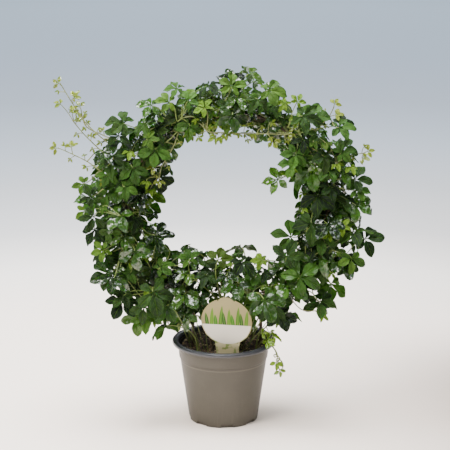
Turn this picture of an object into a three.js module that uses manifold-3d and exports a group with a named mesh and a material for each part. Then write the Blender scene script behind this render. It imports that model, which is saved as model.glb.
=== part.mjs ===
// A miniature grape ivy trained round a wire hoop, in its nursery pot, with a plain plant label.
// Lengths are in millimetres. +Z is up, -Y is the front, and the origin is the middle of the pot's base.
import * as THREE from "three";
import { mergeVertices } from "three/addons/utils/BufferGeometryUtils.js";
import Module from "manifold-3d";

const wasm = await Module();
wasm.setup();

// Pot: an injection-moulded 12 cm nursery pot with a rolled rim, a collar and drain notches in its foot
const POT_RIM_RADIUS = 60;
const POT_HEIGHT = 97;
const POT_FOOT_RADIUS = 40.5;
const POT_WALL = 1.6;
const POT_FLOOR_Z = 4.2;
const POT_SIDES = 32;
const COLLAR_Z = 75.5;
const BASE_DISC_RADIUS = 21;
const DRAIN_COUNT = 8;
const DRAIN_FIRST_ANGLE = 6;

// Soil
const SOIL_Z = 87;
const SOIL_GAP = 0.35;
const SOIL_RELIEF = 1.3;
const PLANTING_DEPTH = 14;

// Hoop: plastic-coated wire, an open circle whose two ends turn down into the soil
const HOOP_X = 4;
const HOOP_Z = 252;
const HOOP_RADIUS = 115;
const HOOP_END_ANGLE = 156;
const HOOP_BEND_RADIUS = 12;
const HOOP_STEP = 13;
const WIRE_RADIUS = 2;
const WIRE_SIDES = 5;
const LEG_DEPTH = 28;

// Vines: woody main stems that wind round the hoop side by side
const VINE_RADIUS = 1.5;
const WINDING_RADIUS = 5;
const WINDING_TURNS = 3.25;
const VINE_STEP = 14.5;
const JOIN_LENGTH = 92;

// Leaves: five leaflets on a petiole, as thin arched blades
const BLADE_THICKNESS = 0.8;
const PETIOLE_HALF_WIDTH = 0.7;
const HUB_BACK = 0.9;
const NOTCH_RADIUS = 0.1;
const SHOULDER_AT = 0.62;
const LEAF_FORMS = 5;
const SHOOT_RADIUS = 1.2;
const SHOOT_SIDES = 4;
const SHOOT_STEPS = 3;
const ROOTED_STEPS = 4;
const CLEARANCE = 0.35;
const TRIES = 20;
const CHOICE = 5;

// Label: a round tag on a stake
const TAG_RADIUS = 29.5;
const TAG_THICKNESS = 0.8;
const TAG_CENTRE_Z = 132;
const TAG_STAKE_HALF_WIDTH = 14.5;
const TAG_POINT_HALF_WIDTH = 4;
const TAG_DEPTH = 26;
const TAG_LEAN = 10;
const TAG_TURN = 10;
const TAG_BUMP_RADIUS = 11;
const TAG_BUMP_RISE = 20.5;
const TAG_FOOT = new THREE.Vector3(5, -38, SOIL_Z);

const COLOURS = {
  pot: 0x8a8071,
  soil: 0x2b211b,
  wire: 0x4a3b2c,
  bark: 0x5b4a35,
  leaf: 0x245218,
  young: 0x8fae3a,
  tag: 0xd8c8a8,
};

const vec = (x, y, z) => new THREE.Vector3(x, y, z);
const radians = THREE.MathUtils.degToRad;
const lerp = THREE.MathUtils.lerp;
const smooth = THREE.MathUtils.smoothstep;
const FRONT = vec(0, -1, 0);
const UP = vec(0, 0, 1);

// A repeatable source of numbers from 0 to 1, so that every build grows the same plant.
function dice(seed) {
  let state = Math.imul(seed + 1, 2654435761) >>> 0;
  const roll = () => {
    state = (Math.imul(state, 1664525) + 1013904223) >>> 0;
    return state / 4294967296;
  };
  roll();
  roll();
  return roll;
}

// Turns a closed geometry into a solid that can be joined and cut.
function solidOf(geometry) {
  const bare = new THREE.BufferGeometry();
  bare.setAttribute("position", geometry.getAttribute("position"));
  bare.setIndex(geometry.index);
  const merged = mergeVertices(bare, 1e-4);
  const triangles = [];
  const index = merged.index.array;
  for (let i = 0; i < index.length; i += 3) {
    const [a, b, c] = [index[i], index[i + 1], index[i + 2]];
    if (a !== b && b !== c && c !== a) triangles.push(a, b, c);
  }
  const make = (triVerts) =>
    new wasm.Manifold(
      new wasm.Mesh({
        numProp: 3,
        vertProperties: merged.attributes.position.array,
        triVerts: new Uint32Array(triVerts),
      }),
    );
  const solid = make(triangles);
  return solid.volume() > 0 ? solid : make(triangles.reverse());
}

// Turns a solid back into a named mesh.
function meshOf(name, solid, colour, roughness) {
  const mesh = solid.getMesh();
  const geometry = new THREE.BufferGeometry();
  geometry.setAttribute("position", new THREE.BufferAttribute(new Float32Array(mesh.vertProperties), 3));
  geometry.setIndex(new THREE.BufferAttribute(new Uint32Array(mesh.triVerts), 1));
  geometry.computeVertexNormals();
  const material = new THREE.MeshStandardMaterial({ color: colour, roughness, metalness: 0 });
  const made = new THREE.Mesh(geometry, material);
  made.name = name;
  return made;
}

const union = (solids) => wasm.Manifold.union(solids);

// A box as a solid, turned about Z and put in place.
function block(size, at, turn = 0) {
  const geometry = new THREE.BoxGeometry(size.x, size.y, size.z);
  geometry.applyMatrix4(new THREE.Matrix4().makeRotationZ(turn).setPosition(at));
  return solidOf(geometry);
}

// A round tube along a curve.
function tube(curve, radius, sides, steps) {
  const section = new THREE.Shape();
  for (let i = 0; i < sides; i++) {
    const angle = (2 * Math.PI * i) / sides;
    const [x, y] = [radius * Math.cos(angle), radius * Math.sin(angle)];
    if (i) section.lineTo(x, y);
    else section.moveTo(x, y);
  }
  return solidOf(new THREE.ExtrudeGeometry(section, { steps, extrudePath: curve, bevelEnabled: false }));
}

// A round solid from a profile of [radius, z] points that starts and ends on the axis.
function turned(profile) {
  const points = profile.map(([radius, z]) => new THREE.Vector2(radius, z));
  const geometry = new THREE.LatheGeometry(points, POT_SIDES);
  geometry.rotateX(Math.PI / 2);
  return geometry;
}

// Pot
const outerRadius = (z) => POT_FOOT_RADIUS + (z * 10.6) / COLLAR_Z;
const innerRadius = (z) =>
  lerp(
    outerRadius(POT_FLOOR_Z) - POT_WALL,
    POT_RIM_RADIUS - 6.5 - POT_WALL,
    (z - POT_FLOOR_Z) / (POT_HEIGHT - 3 - POT_FLOOR_Z),
  );

function makePot() {
  const collar = outerRadius(COLLAR_Z) + 0.8;
  const lip = POT_RIM_RADIUS - 6.5;
  const body = solidOf(
    turned([
      [0, 0],
      [BASE_DISC_RADIUS, 0],
      [BASE_DISC_RADIUS + 2, 2.4],
      [35, 2.4],
      [36.5, 0],
      [POT_FOOT_RADIUS - 0.5, 0],
      [outerRadius(COLLAR_Z), COLLAR_Z],
      [collar, COLLAR_Z + 1],
      [lip, POT_HEIGHT - 5],
      [POT_RIM_RADIUS - 1, POT_HEIGHT - 4.4],
      [POT_RIM_RADIUS, POT_HEIGHT - 2.6],
      [POT_RIM_RADIUS - 1.4, POT_HEIGHT],
      [lip + 0.6, POT_HEIGHT],
      [lip - POT_WALL, POT_HEIGHT - 3],
      [innerRadius(POT_FLOOR_Z), POT_FLOOR_Z],
      [0, POT_FLOOR_Z],
    ]),
  );
  const cutters = [];
  for (let i = 0; i < DRAIN_COUNT; i++) {
    const angle = radians(DRAIN_FIRST_ANGLE + (i * 360) / DRAIN_COUNT - 90);
    const along = (radius, z) => vec(radius * Math.cos(angle), radius * Math.sin(angle), z);
    cutters.push(block(vec(14, 9, 4.4), along(40, 0), angle));
    cutters.push(block(vec(7, 6, 12), along(29, 3), angle));
  }
  return body.subtract(union(cutters));
}

// Soil: it fills the pot, with a crumbled, slightly hollowed top
function makeSoil(holes) {
  const floor = POT_FLOOR_Z + SOIL_GAP;
  const edge = innerRadius(SOIL_Z - 2) - SOIL_GAP;
  const geometry = turned([
    [0, floor],
    [innerRadius(floor) - SOIL_GAP, floor],
    [edge, SOIL_Z - 2],
    [edge - 2, SOIL_Z],
    [26, SOIL_Z],
    [0, SOIL_Z],
  ]);
  const position = geometry.getAttribute("position");
  for (let i = 0; i < position.count; i++) {
    const [x, y, z] = [position.getX(i), position.getY(i), position.getZ(i)];
    if (z > SOIL_Z - 1) position.setZ(i, z + SOIL_RELIEF * Math.sin(0.31 * x + 1) * Math.cos(0.27 * y));
  }
  return solidOf(geometry).subtract(union(holes));
}

// A point of the hoop's wire at a distance s along it from the top, positive to the right, with its
// direction and its outward normal
const HOOP_ARC = radians(HOOP_END_ANGLE) * HOOP_RADIUS;
const HOOP_TURN = Math.PI / 2 - (Math.PI - radians(HOOP_END_ANGLE));

function hoopAt(s) {
  const side = s < 0 ? -1 : 1;
  const way = Math.abs(s);
  const end = radians(HOOP_END_ANGLE);
  const bent = THREE.MathUtils.clamp((way - HOOP_ARC) / HOOP_BEND_RADIUS, 0, HOOP_TURN);
  const down = Math.max(0, way - HOOP_ARC - HOOP_BEND_RADIUS * HOOP_TURN);
  const heading = -Math.min(way, HOOP_ARC) / HOOP_RADIUS + bent;
  let x = HOOP_RADIUS * Math.sin(Math.min(way / HOOP_RADIUS, end));
  let z = HOOP_RADIUS * Math.cos(Math.min(way / HOOP_RADIUS, end));
  x += HOOP_BEND_RADIUS * (Math.sin(heading) + Math.sin(end)) * (bent > 0 ? 1 : 0);
  z += HOOP_BEND_RADIUS * (Math.cos(end) - Math.cos(heading)) * (bent > 0 ? 1 : 0) - down;
  return {
    point: vec(HOOP_X + side * x, 0, HOOP_Z + z),
    along: vec(Math.cos(heading), 0, side * Math.sin(heading)),
    outward: vec(-side * Math.sin(heading), 0, Math.cos(heading)),
  };
}

// The distance along the hoop at which its legs meet the soil.
const LEG_S = HOOP_ARC + HOOP_BEND_RADIUS * HOOP_TURN;
const SOIL_S = LEG_S + hoopAt(LEG_S).point.z - SOIL_Z;

// The direction from the hoop's wire at s, turned by an angle from outward towards the front.
function awayFromHoop(s, angle) {
  const { outward } = hoopAt(s);
  return outward.multiplyScalar(Math.cos(angle)).addScaledVector(FRONT, Math.sin(angle));
}

class HoopCurve extends THREE.Curve {
  getPoint(t) {
    return hoopAt(lerp(-SOIL_S - LEG_DEPTH, SOIL_S + LEG_DEPTH, t)).point;
  }
}

// Each vine's soil is where it is rooted, its side is that of the leg it climbs, its angle is where it
// first lies on the wire, and to is how far along the hoop it reaches.
const VINES = [
  { name: "vine_left_front", soil: [-14, -13], side: -1, angle: 135, to: 78 },
  { name: "vine_left_back", soil: [-15, 12], side: -1, angle: 225, to: -34 },
  { name: "vine_right_front", soil: [24, -12], side: 1, angle: 135, to: -66 },
  { name: "vine_right_back", soil: [22, 13], side: 1, angle: 225, to: 40 },
];

// The vines wind from one joining point to the other. The odd quarter turn puts those from the left and
// those from the right on opposite sides of the wire where they meet at the top.
const JOIN_S = SOIL_S - JOIN_LENGTH;
const WINDING_PITCH = JOIN_S / WINDING_TURNS;

function windingAngle(vine, s) {
  const turned = (THREE.MathUtils.clamp(s, -JOIN_S, JOIN_S) - vine.side * JOIN_S) / WINDING_PITCH;
  return radians(vine.angle) + 2 * Math.PI * turned;
}

function vineAt(vine, s) {
  const wound = hoopAt(s).point.addScaledVector(awayFromHoop(s, windingAngle(vine, s)), WINDING_RADIUS);
  const free = vec(vine.soil[0], vine.soil[1], wound.z);
  return free.lerp(wound, 1 - smooth(Math.abs(s), JOIN_S, SOIL_S - 8));
}

class VineCurve extends THREE.Curve {
  constructor(vine) {
    super();
    this.vine = vine;
  }
  distance(t) {
    return lerp(this.vine.side * (SOIL_S + PLANTING_DEPTH - CLEARANCE), this.vine.to, t);
  }
  getPoint(t) {
    return vineAt(this.vine, this.distance(t));
  }
}

// Makes a vine, and notes its sections as the seats that side shoots can grow from.
function makeVine(vine) {
  const steps = Math.round(Math.abs(vine.to - vine.side * SOIL_S) / VINE_STEP);
  const curve = new VineCurve(vine);
  vine.seats = Array.from({ length: steps }, (_, i) => curve.distance(curve.getUtoTmapping(i / steps)));
  return tube(curve, VINE_RADIUS, 4, steps);
}

// The first two points of a shoot that grows from a vine, at the seat nearest to s.
function shootStart(vine, s) {
  const seat = vine.seats.reduce((a, b) => (Math.abs(a - s) < Math.abs(b - s) ? a : b));
  const outFromVine = awayFromHoop(seat, windingAngle(vine, seat));
  return [VINE_RADIUS + 0.2, VINE_RADIUS + 4.5].map((reach) =>
    vineAt(vine, seat).addScaledVector(outFromVine, reach),
  );
}

// Leaf forms: each leaflet's heading, and its length, half width, droop and fold as shares
const LEAFLET_HEADINGS = [-128, -65, 0, 65, 128];
const LEAFLET_LENGTHS = [0.68, 0.92, 1, 0.92, 0.68];

function leafForm(number) {
  const roll = dice(900 + number);
  return LEAFLET_HEADINGS.map((heading, i) => ({
    heading: radians(heading + 16 * (roll() - 0.5)),
    length: LEAFLET_LENGTHS[i] * (0.92 + 0.16 * roll()),
    width: 0.3 + 0.05 * roll(),
    droop: 0.14 + 0.3 * roll(),
    fold: 0.1 + 0.25 * roll(),
  }));
}

const FORMS = Array.from({ length: LEAF_FORMS }, (_, number) => leafForm(number));

// The points of a leaf's outline, anticlockwise from the right of its hub, on its middle surface. The hub
// is at the origin, the middle leaflet points along +X, and the upper face looks along +Z.
function leafOutline(leaf, grow) {
  const form = leaf.leaflets === 3 ? FORMS[leaf.form].slice(1, 4) : FORMS[leaf.form];
  const outline = [vec(-HUB_BACK, -PETIOLE_HALF_WIDTH - grow, 0)];
  form.forEach((leaflet, i) => {
    const length = leaf.size * leaflet.length;
    const rise = (u) => length * (0.12 * u - leaflet.droop * u * u);
    const reach = SHOULDER_AT * length;
    const half = leaflet.width * length + grow;
    const at = (along, aside, z) => vec(along, aside, z).applyAxisAngle(UP, leaflet.heading);
    const shoulder = rise(SHOULDER_AT) + leaflet.fold * half;
    outline.push(at(reach, -half, shoulder), at(length + grow, 0, rise(1)), at(reach, half, shoulder));
    const next = form[i + 1];
    if (next) {
      const between = (leaflet.heading + next.heading) / 2;
      const radius = NOTCH_RADIUS * leaf.size + grow;
      outline.push(vec(radius * Math.cos(between), radius * Math.sin(between), 0));
    }
  });
  outline.push(vec(-HUB_BACK, PETIOLE_HALF_WIDTH + grow, 0));
  return outline;
}

// The petiole's sections at its bend, if it has one, and at its root, each turned with as little twist as
// it can be.
function petioleSections(leaf, frame, half) {
  const hub = frame.place(vec(-HUB_BACK, 0, 0));
  const sections = [{ at: leaf.root, along: (leaf.bend ?? hub).clone().sub(leaf.root).normalize() }];
  if (leaf.bend) sections.unshift({ at: leaf.bend, along: hub.clone().sub(leaf.root).normalize() });
  return sections.map(({ at, along }) => {
    const turn = new THREE.Quaternion().setFromUnitVectors(frame.forward, along);
    const aside = frame.aside.clone().applyQuaternion(turn);
    const above = frame.above.clone().applyQuaternion(turn);
    aside.multiplyScalar(half.x);
    above.multiplyScalar(half.y);
    const corner = (a, b) => at.clone().addScaledVector(aside, a).addScaledVector(above, b);
    return [corner(1, 1), corner(-1, 1), corner(-1, -1), corner(1, -1)];
  });
}

// A leaf with its petiole as one closed solid. Growing it by a margin gives the space that it needs.
function makeLeaf(leaf, grow = 0) {
  const above = leaf.normal;
  const forward = leaf.forward;
  const aside = above.clone().cross(forward);
  const axes = new THREE.Matrix4().makeBasis(forward, aside, above).setPosition(leaf.centre);
  const place = (p) => p.clone().applyMatrix4(axes);
  const frame = { above, forward, aside, place };
  const outline = leafOutline(leaf, grow);
  const half = BLADE_THICKNESS / 2 + grow;
  const n = outline.length;
  const level = (z) => outline.map((p) => place(p.clone().setZ(p.z + z)));
  const vertices = [...level(half), ...level(-half), place(vec(0, 0, half)), place(vec(0, 0, -half))];
  const [top, bottom] = [2 * n, 2 * n + 1];
  const faces = [];
  for (let i = 0; i < n; i++) {
    const next = (i + 1) % n;
    faces.push([top, i, next], [bottom, n + next, n + i]);
    if (next) faces.push([n + i, n + next, next], [n + i, next, i]);
  }
  let ring = [n - 1, 0, n, 2 * n - 1];
  for (const corners of petioleSections(leaf, frame, new THREE.Vector2(PETIOLE_HALF_WIDTH + grow, half))) {
    const far = corners.map((_, i) => vertices.length + i);
    vertices.push(...corners);
    for (let i = 0; i < 4; i++) {
      const j = (i + 1) % 4;
      faces.push([ring[i], far[i], far[j]], [ring[i], far[j], ring[j]]);
    }
    ring = far;
  }
  faces.push([ring[0], ring[3], ring[2]], [ring[0], ring[2], ring[1]]);
  const geometry = new THREE.BufferGeometry().setFromPoints(vertices);
  geometry.setIndex(faces.flat());
  return solidOf(geometry);
}

// What stands already, each with its box and the spray it belongs to, so that nothing is grown through it
const standing = [];

function stand(solid, owner = null, isShoot = false) {
  standing.push({ solid, box: solid.boundingBox(), owner, isShoot });
  return solid;
}

const boxesMeet = (a, b) => [0, 1, 2].every((i) => a.min[i] <= b.max[i] && b.min[i] <= a.max[i]);
const meets = (solid, other) =>
  boxesMeet(solid.boundingBox(), other.box) && !solid.intersect(other.solid).isEmpty();

// Whether a solid is clear of all that stands. A leaf may start in its own shoot, so there only the part
// of it away from the shoot is held against the spray's other leaves.
function isClear(solid, owner = null, away = solid) {
  return standing.every((other) => {
    if (owner && other.owner === owner) return other.isShoot || !meets(away, other);
    return !meets(solid, other);
  });
}

// How full the plant is round the hoop: slim at the top, broad down both sides
const fullness = (s) => smooth(Math.abs(s), 40, 130);

function leafReach(s, angle) {
  const full = fullness(s);
  const [out, inward, depth] = [lerp(20, 43, full), lerp(9, 27, full), lerp(17, 29, full)];
  const side = Math.cos(angle) > 0 ? out : inward;
  return side * Math.cos(angle) ** 2 + depth * Math.sin(angle) ** 2;
}

const scatter = (roll) => vec(roll() - 0.5, roll() - 0.5, roll() - 0.5);
const across = (direction, normal) => direction.addScaledVector(normal, -direction.dot(normal)).normalize();

// A try at one leaf of a spray on the hoop. It looks outwards and up, and hangs the more the lower it is.
function hoopLeaf(spray, number, attempt) {
  const roll = dice(spray.seed * 1009 + number * 31 + attempt);
  const loose = 1 + attempt / TRIES;
  const s = spray.s + (spray.run * number) / spray.leaves + 26 * (roll() - 0.5) * loose;
  const angle = spray.angle + 1.9 * (roll() - 0.5) * loose;
  const away = awayFromHoop(s, angle);
  const layer = lerp(0.6, 1.06, Math.sqrt(roll()));
  const centre = hoopAt(s).point.addScaledVector(away, leafReach(s, angle) * layer);
  const normal = away
    .clone()
    .multiplyScalar(0.55)
    .addScaledVector(UP, 0.6)
    .addScaledVector(FRONT, Math.sin(angle) > -0.35 ? 0.85 : -0.85)
    .addScaledVector(scatter(roll), 0.8)
    .normalize();
  const forward = away
    .clone()
    .multiplyScalar(0.5)
    .addScaledVector(UP, lerp(-0.1, -0.9, fullness(s)))
    .addScaledVector(hoopAt(s).along, 1.6 * (roll() - 0.5))
    .addScaledVector(FRONT, 0.3);
  const size = lerp(21, 28, roll()) * lerp(0.84, 1, fullness(s));
  const form = Math.floor(roll() * LEAF_FORMS);
  return { centre, normal, forward: across(forward, normal), size, form, leaflets: 5 };
}

// A side shoot that leaves its vine and runs a little way along the hoop.
function hoopShoot(spray, attempt) {
  const roll = dice(spray.seed * 577 + 50000 + attempt);
  const { s, vine, run } = spray;
  const points = shootStart(vine, s + Math.sign(run) * attempt);
  for (const share of [0.5, 1]) {
    const angle = lerp(windingAngle(vine, s), spray.turnedAngle, share) + 0.5 * (roll() - 0.5);
    const away = awayFromHoop(s + run * share, angle);
    points.push(hoopAt(s + run * share).point.addScaledVector(away, 10 + 5 * share + 3 * roll()));
  }
  return points;
}

// The vine that reaches s and lies nearest to an angle there, and that angle counted from the vine's own.
function nearestVine(s, angle) {
  const reaching = VINES.filter(({ side, to }) => side * (s - to) > 6);
  const apart = (vine) => {
    const turn = (angle - windingAngle(vine, s)) / (2 * Math.PI);
    return 2 * Math.PI * (turn - Math.round(turn));
  };
  const vine = reaching.reduce((a, b) => (Math.abs(apart(a)) < Math.abs(apart(b)) ? a : b));
  return { vine, turnedAngle: windingAngle(vine, s) + apart(vine) };
}

// Sprays on the hoop, spread along it and round it
const HOOP_SPRAYS = 24;
const HOOP_SPRAY_SPAN = 302;
const SPRAY_ANGLES = [50, 170, 290];

function hoopSprays() {
  return Array.from({ length: HOOP_SPRAYS }, (_, i) => {
    const roll = dice(7000 + i);
    const s = lerp(-HOOP_SPRAY_SPAN, HOOP_SPRAY_SPAN, i / (HOOP_SPRAYS - 1));
    const angle = radians(SPRAY_ANGLES[i % 3] + 30 * (roll() - 0.5));
    const run = (s < 0 ? 1 : -1) * lerp(14, 28, roll());
    const home = hoopAt(s + run * 0.6).point.addScaledVector(awayFromHoop(s, angle), 14);
    const name = `spray_hoop_${String(i + 1).padStart(2, "0")}`;
    const leaves = fullness(s) > 0.15 ? 3 : 2;
    return {
      ...{ name, seed: i, s, run, angle, home, leaves },
      ...nearestVine(s, angle),
      shoot: hoopShoot,
      leaf: hoopLeaf,
    };
  });
}

// Crown sprays: young stems that rise from the soil between the hoop's legs and close the ring below.
// Each has its root in the soil and the middle of its leaves.
const CROWN_SPRAYS = [
  { root: [-40, 14], head: [-64, 24, 146] },
  { root: [-6, 24], head: [-24, 40, 178] },
  { root: [4, 4], head: [-8, -6, 184] },
  { root: [14, 26], head: [30, 38, 174] },
  { root: [38, -16], head: [58, -32, 148] },
  { root: [-30, -24], head: [-48, -42, 146] },
  { root: [34, 20], head: [58, 32, 158] },
  { root: [16, -12], head: [30, -20, 178] },
];

function crownShoot(spray, attempt) {
  const roll = dice(spray.seed * 577 + 60000 + attempt);
  const [x, y] = spray.root;
  const tip = spray.home.clone().addScaledVector(UP, -16).addScaledVector(scatter(roll), attempt);
  const foot = vec(x, y, SOIL_Z - PLANTING_DEPTH + CLEARANCE);
  const low = vec(x, y, SOIL_Z + 16).lerp(vec(tip.x, tip.y, SOIL_Z + 16), 0.08);
  return [foot, vec(x, y, SOIL_Z + 2), low, tip];
}

function crownLeaf(spray, number, attempt) {
  const roll = dice(spray.seed * 1009 + 400000 + number * 31 + attempt);
  const loose = 1 + attempt / TRIES;
  const turn = (2 * Math.PI * (number + 0.35 * loose * (roll() - 0.5))) / spray.leaves + spray.seed;
  const around = vec(Math.cos(turn), Math.sin(turn), 0);
  const centre = spray.home
    .clone()
    .addScaledVector(around, lerp(13, 27, roll()) * loose)
    .addScaledVector(UP, 26 * (roll() - 0.62) * loose);
  const normal = UP.clone()
    .addScaledVector(around, 0.55)
    .addScaledVector(FRONT, around.y < 0.5 ? 0.7 : -0.3)
    .addScaledVector(scatter(roll), 0.7)
    .normalize();
  const forward = around.clone().addScaledVector(UP, -0.4).addScaledVector(scatter(roll), 0.8);
  const size = lerp(21, 28, roll());
  const form = Math.floor(roll() * LEAF_FORMS);
  return { centre, normal, forward: across(forward, normal), size, form, leaflets: 5 };
}

const crownSprays = () =>
  CROWN_SPRAYS.map(({ root, head }, i) => ({
    name: `spray_crown_${i + 1}`,
    ...{ seed: 100 + i, root, home: vec(...head), leaves: 3, steps: ROOTED_STEPS },
    shoot: crownShoot,
    leaf: crownLeaf,
  }));

// Runners: thin young shoots that reach out past the rest and carry small leaves of three leaflets. Each
// leaves a vine at s along the hoop, or a root in the soil, and passes through its points.
const RUNNERS = [
  { s: -122, through: [[-128, -4, 330], [-151, -6, 350], [-170, -8, 378], [-184, -8, 402]], leaves: 2 },
  { s: -134, through: [[-134, 4, 316], [-158, 2, 340], [-172, 0, 358], [-184, -2, 377]], leaves: 2 },
  { s: -112, through: [[-132, 12, 336], [-155, 12, 345], [-163, 10, 370]], leaves: 2 },
  { s: -152, through: [[-140, -8, 300], [-160, -10, 315], [-175, -10, 322], [-188, -10, 328]], leaves: 2 },
  { s: -60, through: [[-51, -12, 346], [-57, -15, 328], [-68, -16, 307], [-75, -13, 292]], leaves: 2 },
  { s: -36, through: [[-26, -15, 352], [2, -17, 347], [38, -17, 346], [72, -14, 344]], leaves: 2 },
  { s: 100, through: [[104, -8, 346], [118, -10, 362], [125, -12, 376]], leaves: 2 },
  { s: 138, through: [[130, -6, 310], [148, -8, 319], [161, -10, 322]], leaves: 2 },
  { s: 286, through: [[82, -18, 146], [90, -24, 140], [106, -26, 139], [120, -26, 142]], leaves: 2 },
  { root: [40, -23], through: [[45, -32, 104], [55, -40, 103], [62, -44, 90], [64, -45, 76]], leaves: 2 },
];
const RUNNER_STEPS = 5;

function runnerShoot(runner, attempt) {
  const roll = dice(runner.seed * 577 + attempt);
  const { root, vine } = runner;
  const through = runner.through.map((p) => vec(...p).addScaledVector(scatter(roll), attempt));
  if (root) {
    const foot = vec(root[0], root[1], SOIL_Z - PLANTING_DEPTH + CLEARANCE);
    return [foot, vec(root[0], root[1], SOIL_Z + 2), ...through];
  }
  return [...shootStart(vine, runner.s + attempt), ...through];
}

function runnerLeaf(runner, number, attempt) {
  const roll = dice(runner.seed * 1009 + 600000 + number * 31 + attempt);
  const last = runner.nodes.length - 1;
  const node = runner.nodes[last - number];
  const along = node.clone().sub(runner.nodes[last - number - 1]).normalize();
  const side = along.clone().cross(FRONT).multiplyScalar(number % 2 ? 1 : -1);
  const direction = along.clone().addScaledVector(side, number ? 0.9 : 0.3);
  direction.addScaledVector(scatter(roll), 0.6).normalize();
  const size = 8.5 + 1.6 * number;
  const centre = node.clone().addScaledVector(direction, (number ? 8 : 4) + attempt / 3);
  const normal = FRONT.clone().addScaledVector(UP, 0.6).addScaledVector(scatter(roll), 0.8).normalize();
  const forward = direction.clone().addScaledVector(UP, -0.2);
  return { centre, normal, forward: across(forward, normal), size, form: number, leaflets: 3, root: node };
}

// The angle round the wire at s at which a point lies.
function angleTowards(s, point) {
  const { point: wire, outward } = hoopAt(s);
  const way = point.clone().sub(wire);
  return Math.atan2(way.dot(FRONT), way.dot(outward));
}

const runnerSprays = () =>
  RUNNERS.map((runner, i) => ({
    ...{ ...runner, seed: 200 + i, steps: RUNNER_STEPS },
    name: `runner_${String(i + 1).padStart(2, "0")}`,
    ...(runner.root ? {} : nearestVine(runner.s, angleTowards(runner.s, vec(...runner.through[0])))),
    shoot: runnerShoot,
    leaf: runnerLeaf,
  }));

// Leaves with a settled place: x, y and z, the size, the turn of the middle leaflet clockwise from up as
// seen from the front, and the tilt that makes the face look up
const PLACED_LEAVES = [
  [8, -12, 404, 22, 0, 35],
  [13, -20, 389, 21, 185, 40],
  [28, 6, 410, 18, 30, 50],
  [54, -10, 395, 18, 100, 50],
  [4, -20, 362, 17, 185, 30],
  [-40, -12, 384, 18, -40, 45],
  [-75, -16, 368, 19, -60, 45],
  [-113, -18, 358, 22, -60, 45],
  [100, -20, 366, 24, 20, 40],
  [133, -12, 355, 18, 80, 45],
  [136, -14, 328, 19, 110, 45],
  [150, -12, 292, 21, 100, 40],
  [152, -16, 262, 21, 130, 40],
  [163, -8, 220, 25, 95, 45],
  [140, -22, 197, 23, 170, 35],
  [62, -14, 292, 21, -95, 35],
  [77, -20, 226, 23, -70, 40],
  [118, -34, 245, 24, 160, 45],
  [-78, -24, 229, 25, 95, 40],
  [-150, -16, 270, 23, -100, 40],
  [-118, -34, 255, 24, 200, 45],
  [-132, -26, 184, 25, -115, 40],
  [-116, -30, 152, 24, -160, 40],
  [-90, -34, 136, 22, 180, 35],
  [-100, -18, 128, 21, 185, 30],
  [-68, -38, 146, 25, 170, 40],
  [-44, -34, 162, 25, 200, 50],
  [-38, -18, 197, 22, 20, 55],
  [-7, -12, 196, 22, 10, 55],
  [14, -28, 176, 24, 150, 55],
  [73, -34, 172, 26, 150, 50],
  [66, -38, 138, 23, 170, 40],
  [112, -26, 150, 21, 120, 40],
];

function placedLeaf([x, y, z, size, turn, tilt], attempt) {
  const roll = dice(Math.round(x * 31 + z) + attempt);
  const centre = vec(x, y, z).addScaledVector(scatter(roll), attempt);
  const normal = FRONT.clone().multiplyScalar(Math.cos(radians(tilt)));
  normal.addScaledVector(UP, Math.sin(radians(tilt))).addScaledVector(scatter(roll), 0.4).normalize();
  const heading = radians(turn + attempt * 6 * (roll() - 0.5));
  const forward = vec(Math.sin(heading), 0, Math.cos(heading));
  const form = Math.floor(roll() * LEAF_FORMS);
  return { centre, normal, forward: across(forward, normal), size, form, leaflets: 5 };
}

// The points of a shoot from which petioles leave, each inside the tube's own straight steps.
function shootNodes(curve, steps) {
  const sections = Array.from({ length: steps + 1 }, (_, i) => curve.getPointAt(i / steps));
  const end = sections.pop();
  return [...sections.slice(1), sections[sections.length - 1].clone().lerp(end, 0.85)];
}

// Stands a spray's shoot where it is clear.
function growShoot(spray) {
  const steps = spray.steps ?? SHOOT_STEPS;
  for (let attempt = 0; attempt < TRIES; attempt++) {
    const curve = new THREE.CatmullRomCurve3(spray.shoot(spray, attempt));
    if (!isClear(tube(curve, SHOOT_RADIUS + CLEARANCE, SHOOT_SIDES, steps))) continue;
    spray.pieces = [stand(tube(curve, SHOOT_RADIUS, SHOOT_SIDES, steps), spray, true)];
    spray.nodes = shootNodes(curve, steps);
    return;
  }
  throw new Error(`${spray.name} has no room for its shoot`);
}

// Completes a leaf for a spray. Its petiole leaves the nearest node, and bends to come up from behind and
// below the hub where the leaf doesn't point straight away from it. A leaf that would fold back is refused.
function attach(leaf, spray) {
  const far = (p) => p.distanceTo(leaf.centre);
  const root = leaf.root ?? spray.nodes.reduce((best, p) => (far(p) < far(best) ? p : best));
  const straightness = leaf.forward.dot(leaf.centre.clone().sub(root).normalize());
  if (straightness < -0.25) return null;
  if (straightness > 0.7 || leaf.leaflets === 3) return { ...leaf, root };
  const bend = root.clone().lerp(leaf.centre, 0.5);
  bend.addScaledVector(leaf.forward, -0.2 * far(root)).addScaledVector(leaf.normal, -0.14 * far(root));
  return { ...leaf, root, bend };
}

function hasRoom(leaf, spray) {
  const root = leaf.root.clone().lerp(leaf.bend ?? leaf.centre, 0.5);
  return isClear(makeLeaf(leaf, CLEARANCE), spray, makeLeaf({ ...leaf, root }, CLEARANCE));
}

// How lonely a place is: its distance to the nearest leaf, in which depth counts half.
const grownAt = [];
const loneliness = (place) =>
  Math.min(...grownAt.map((p) => Math.hypot(p.x - place.x, p.z - place.z, (p.y - place.y) / 2)), Infinity);

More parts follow.
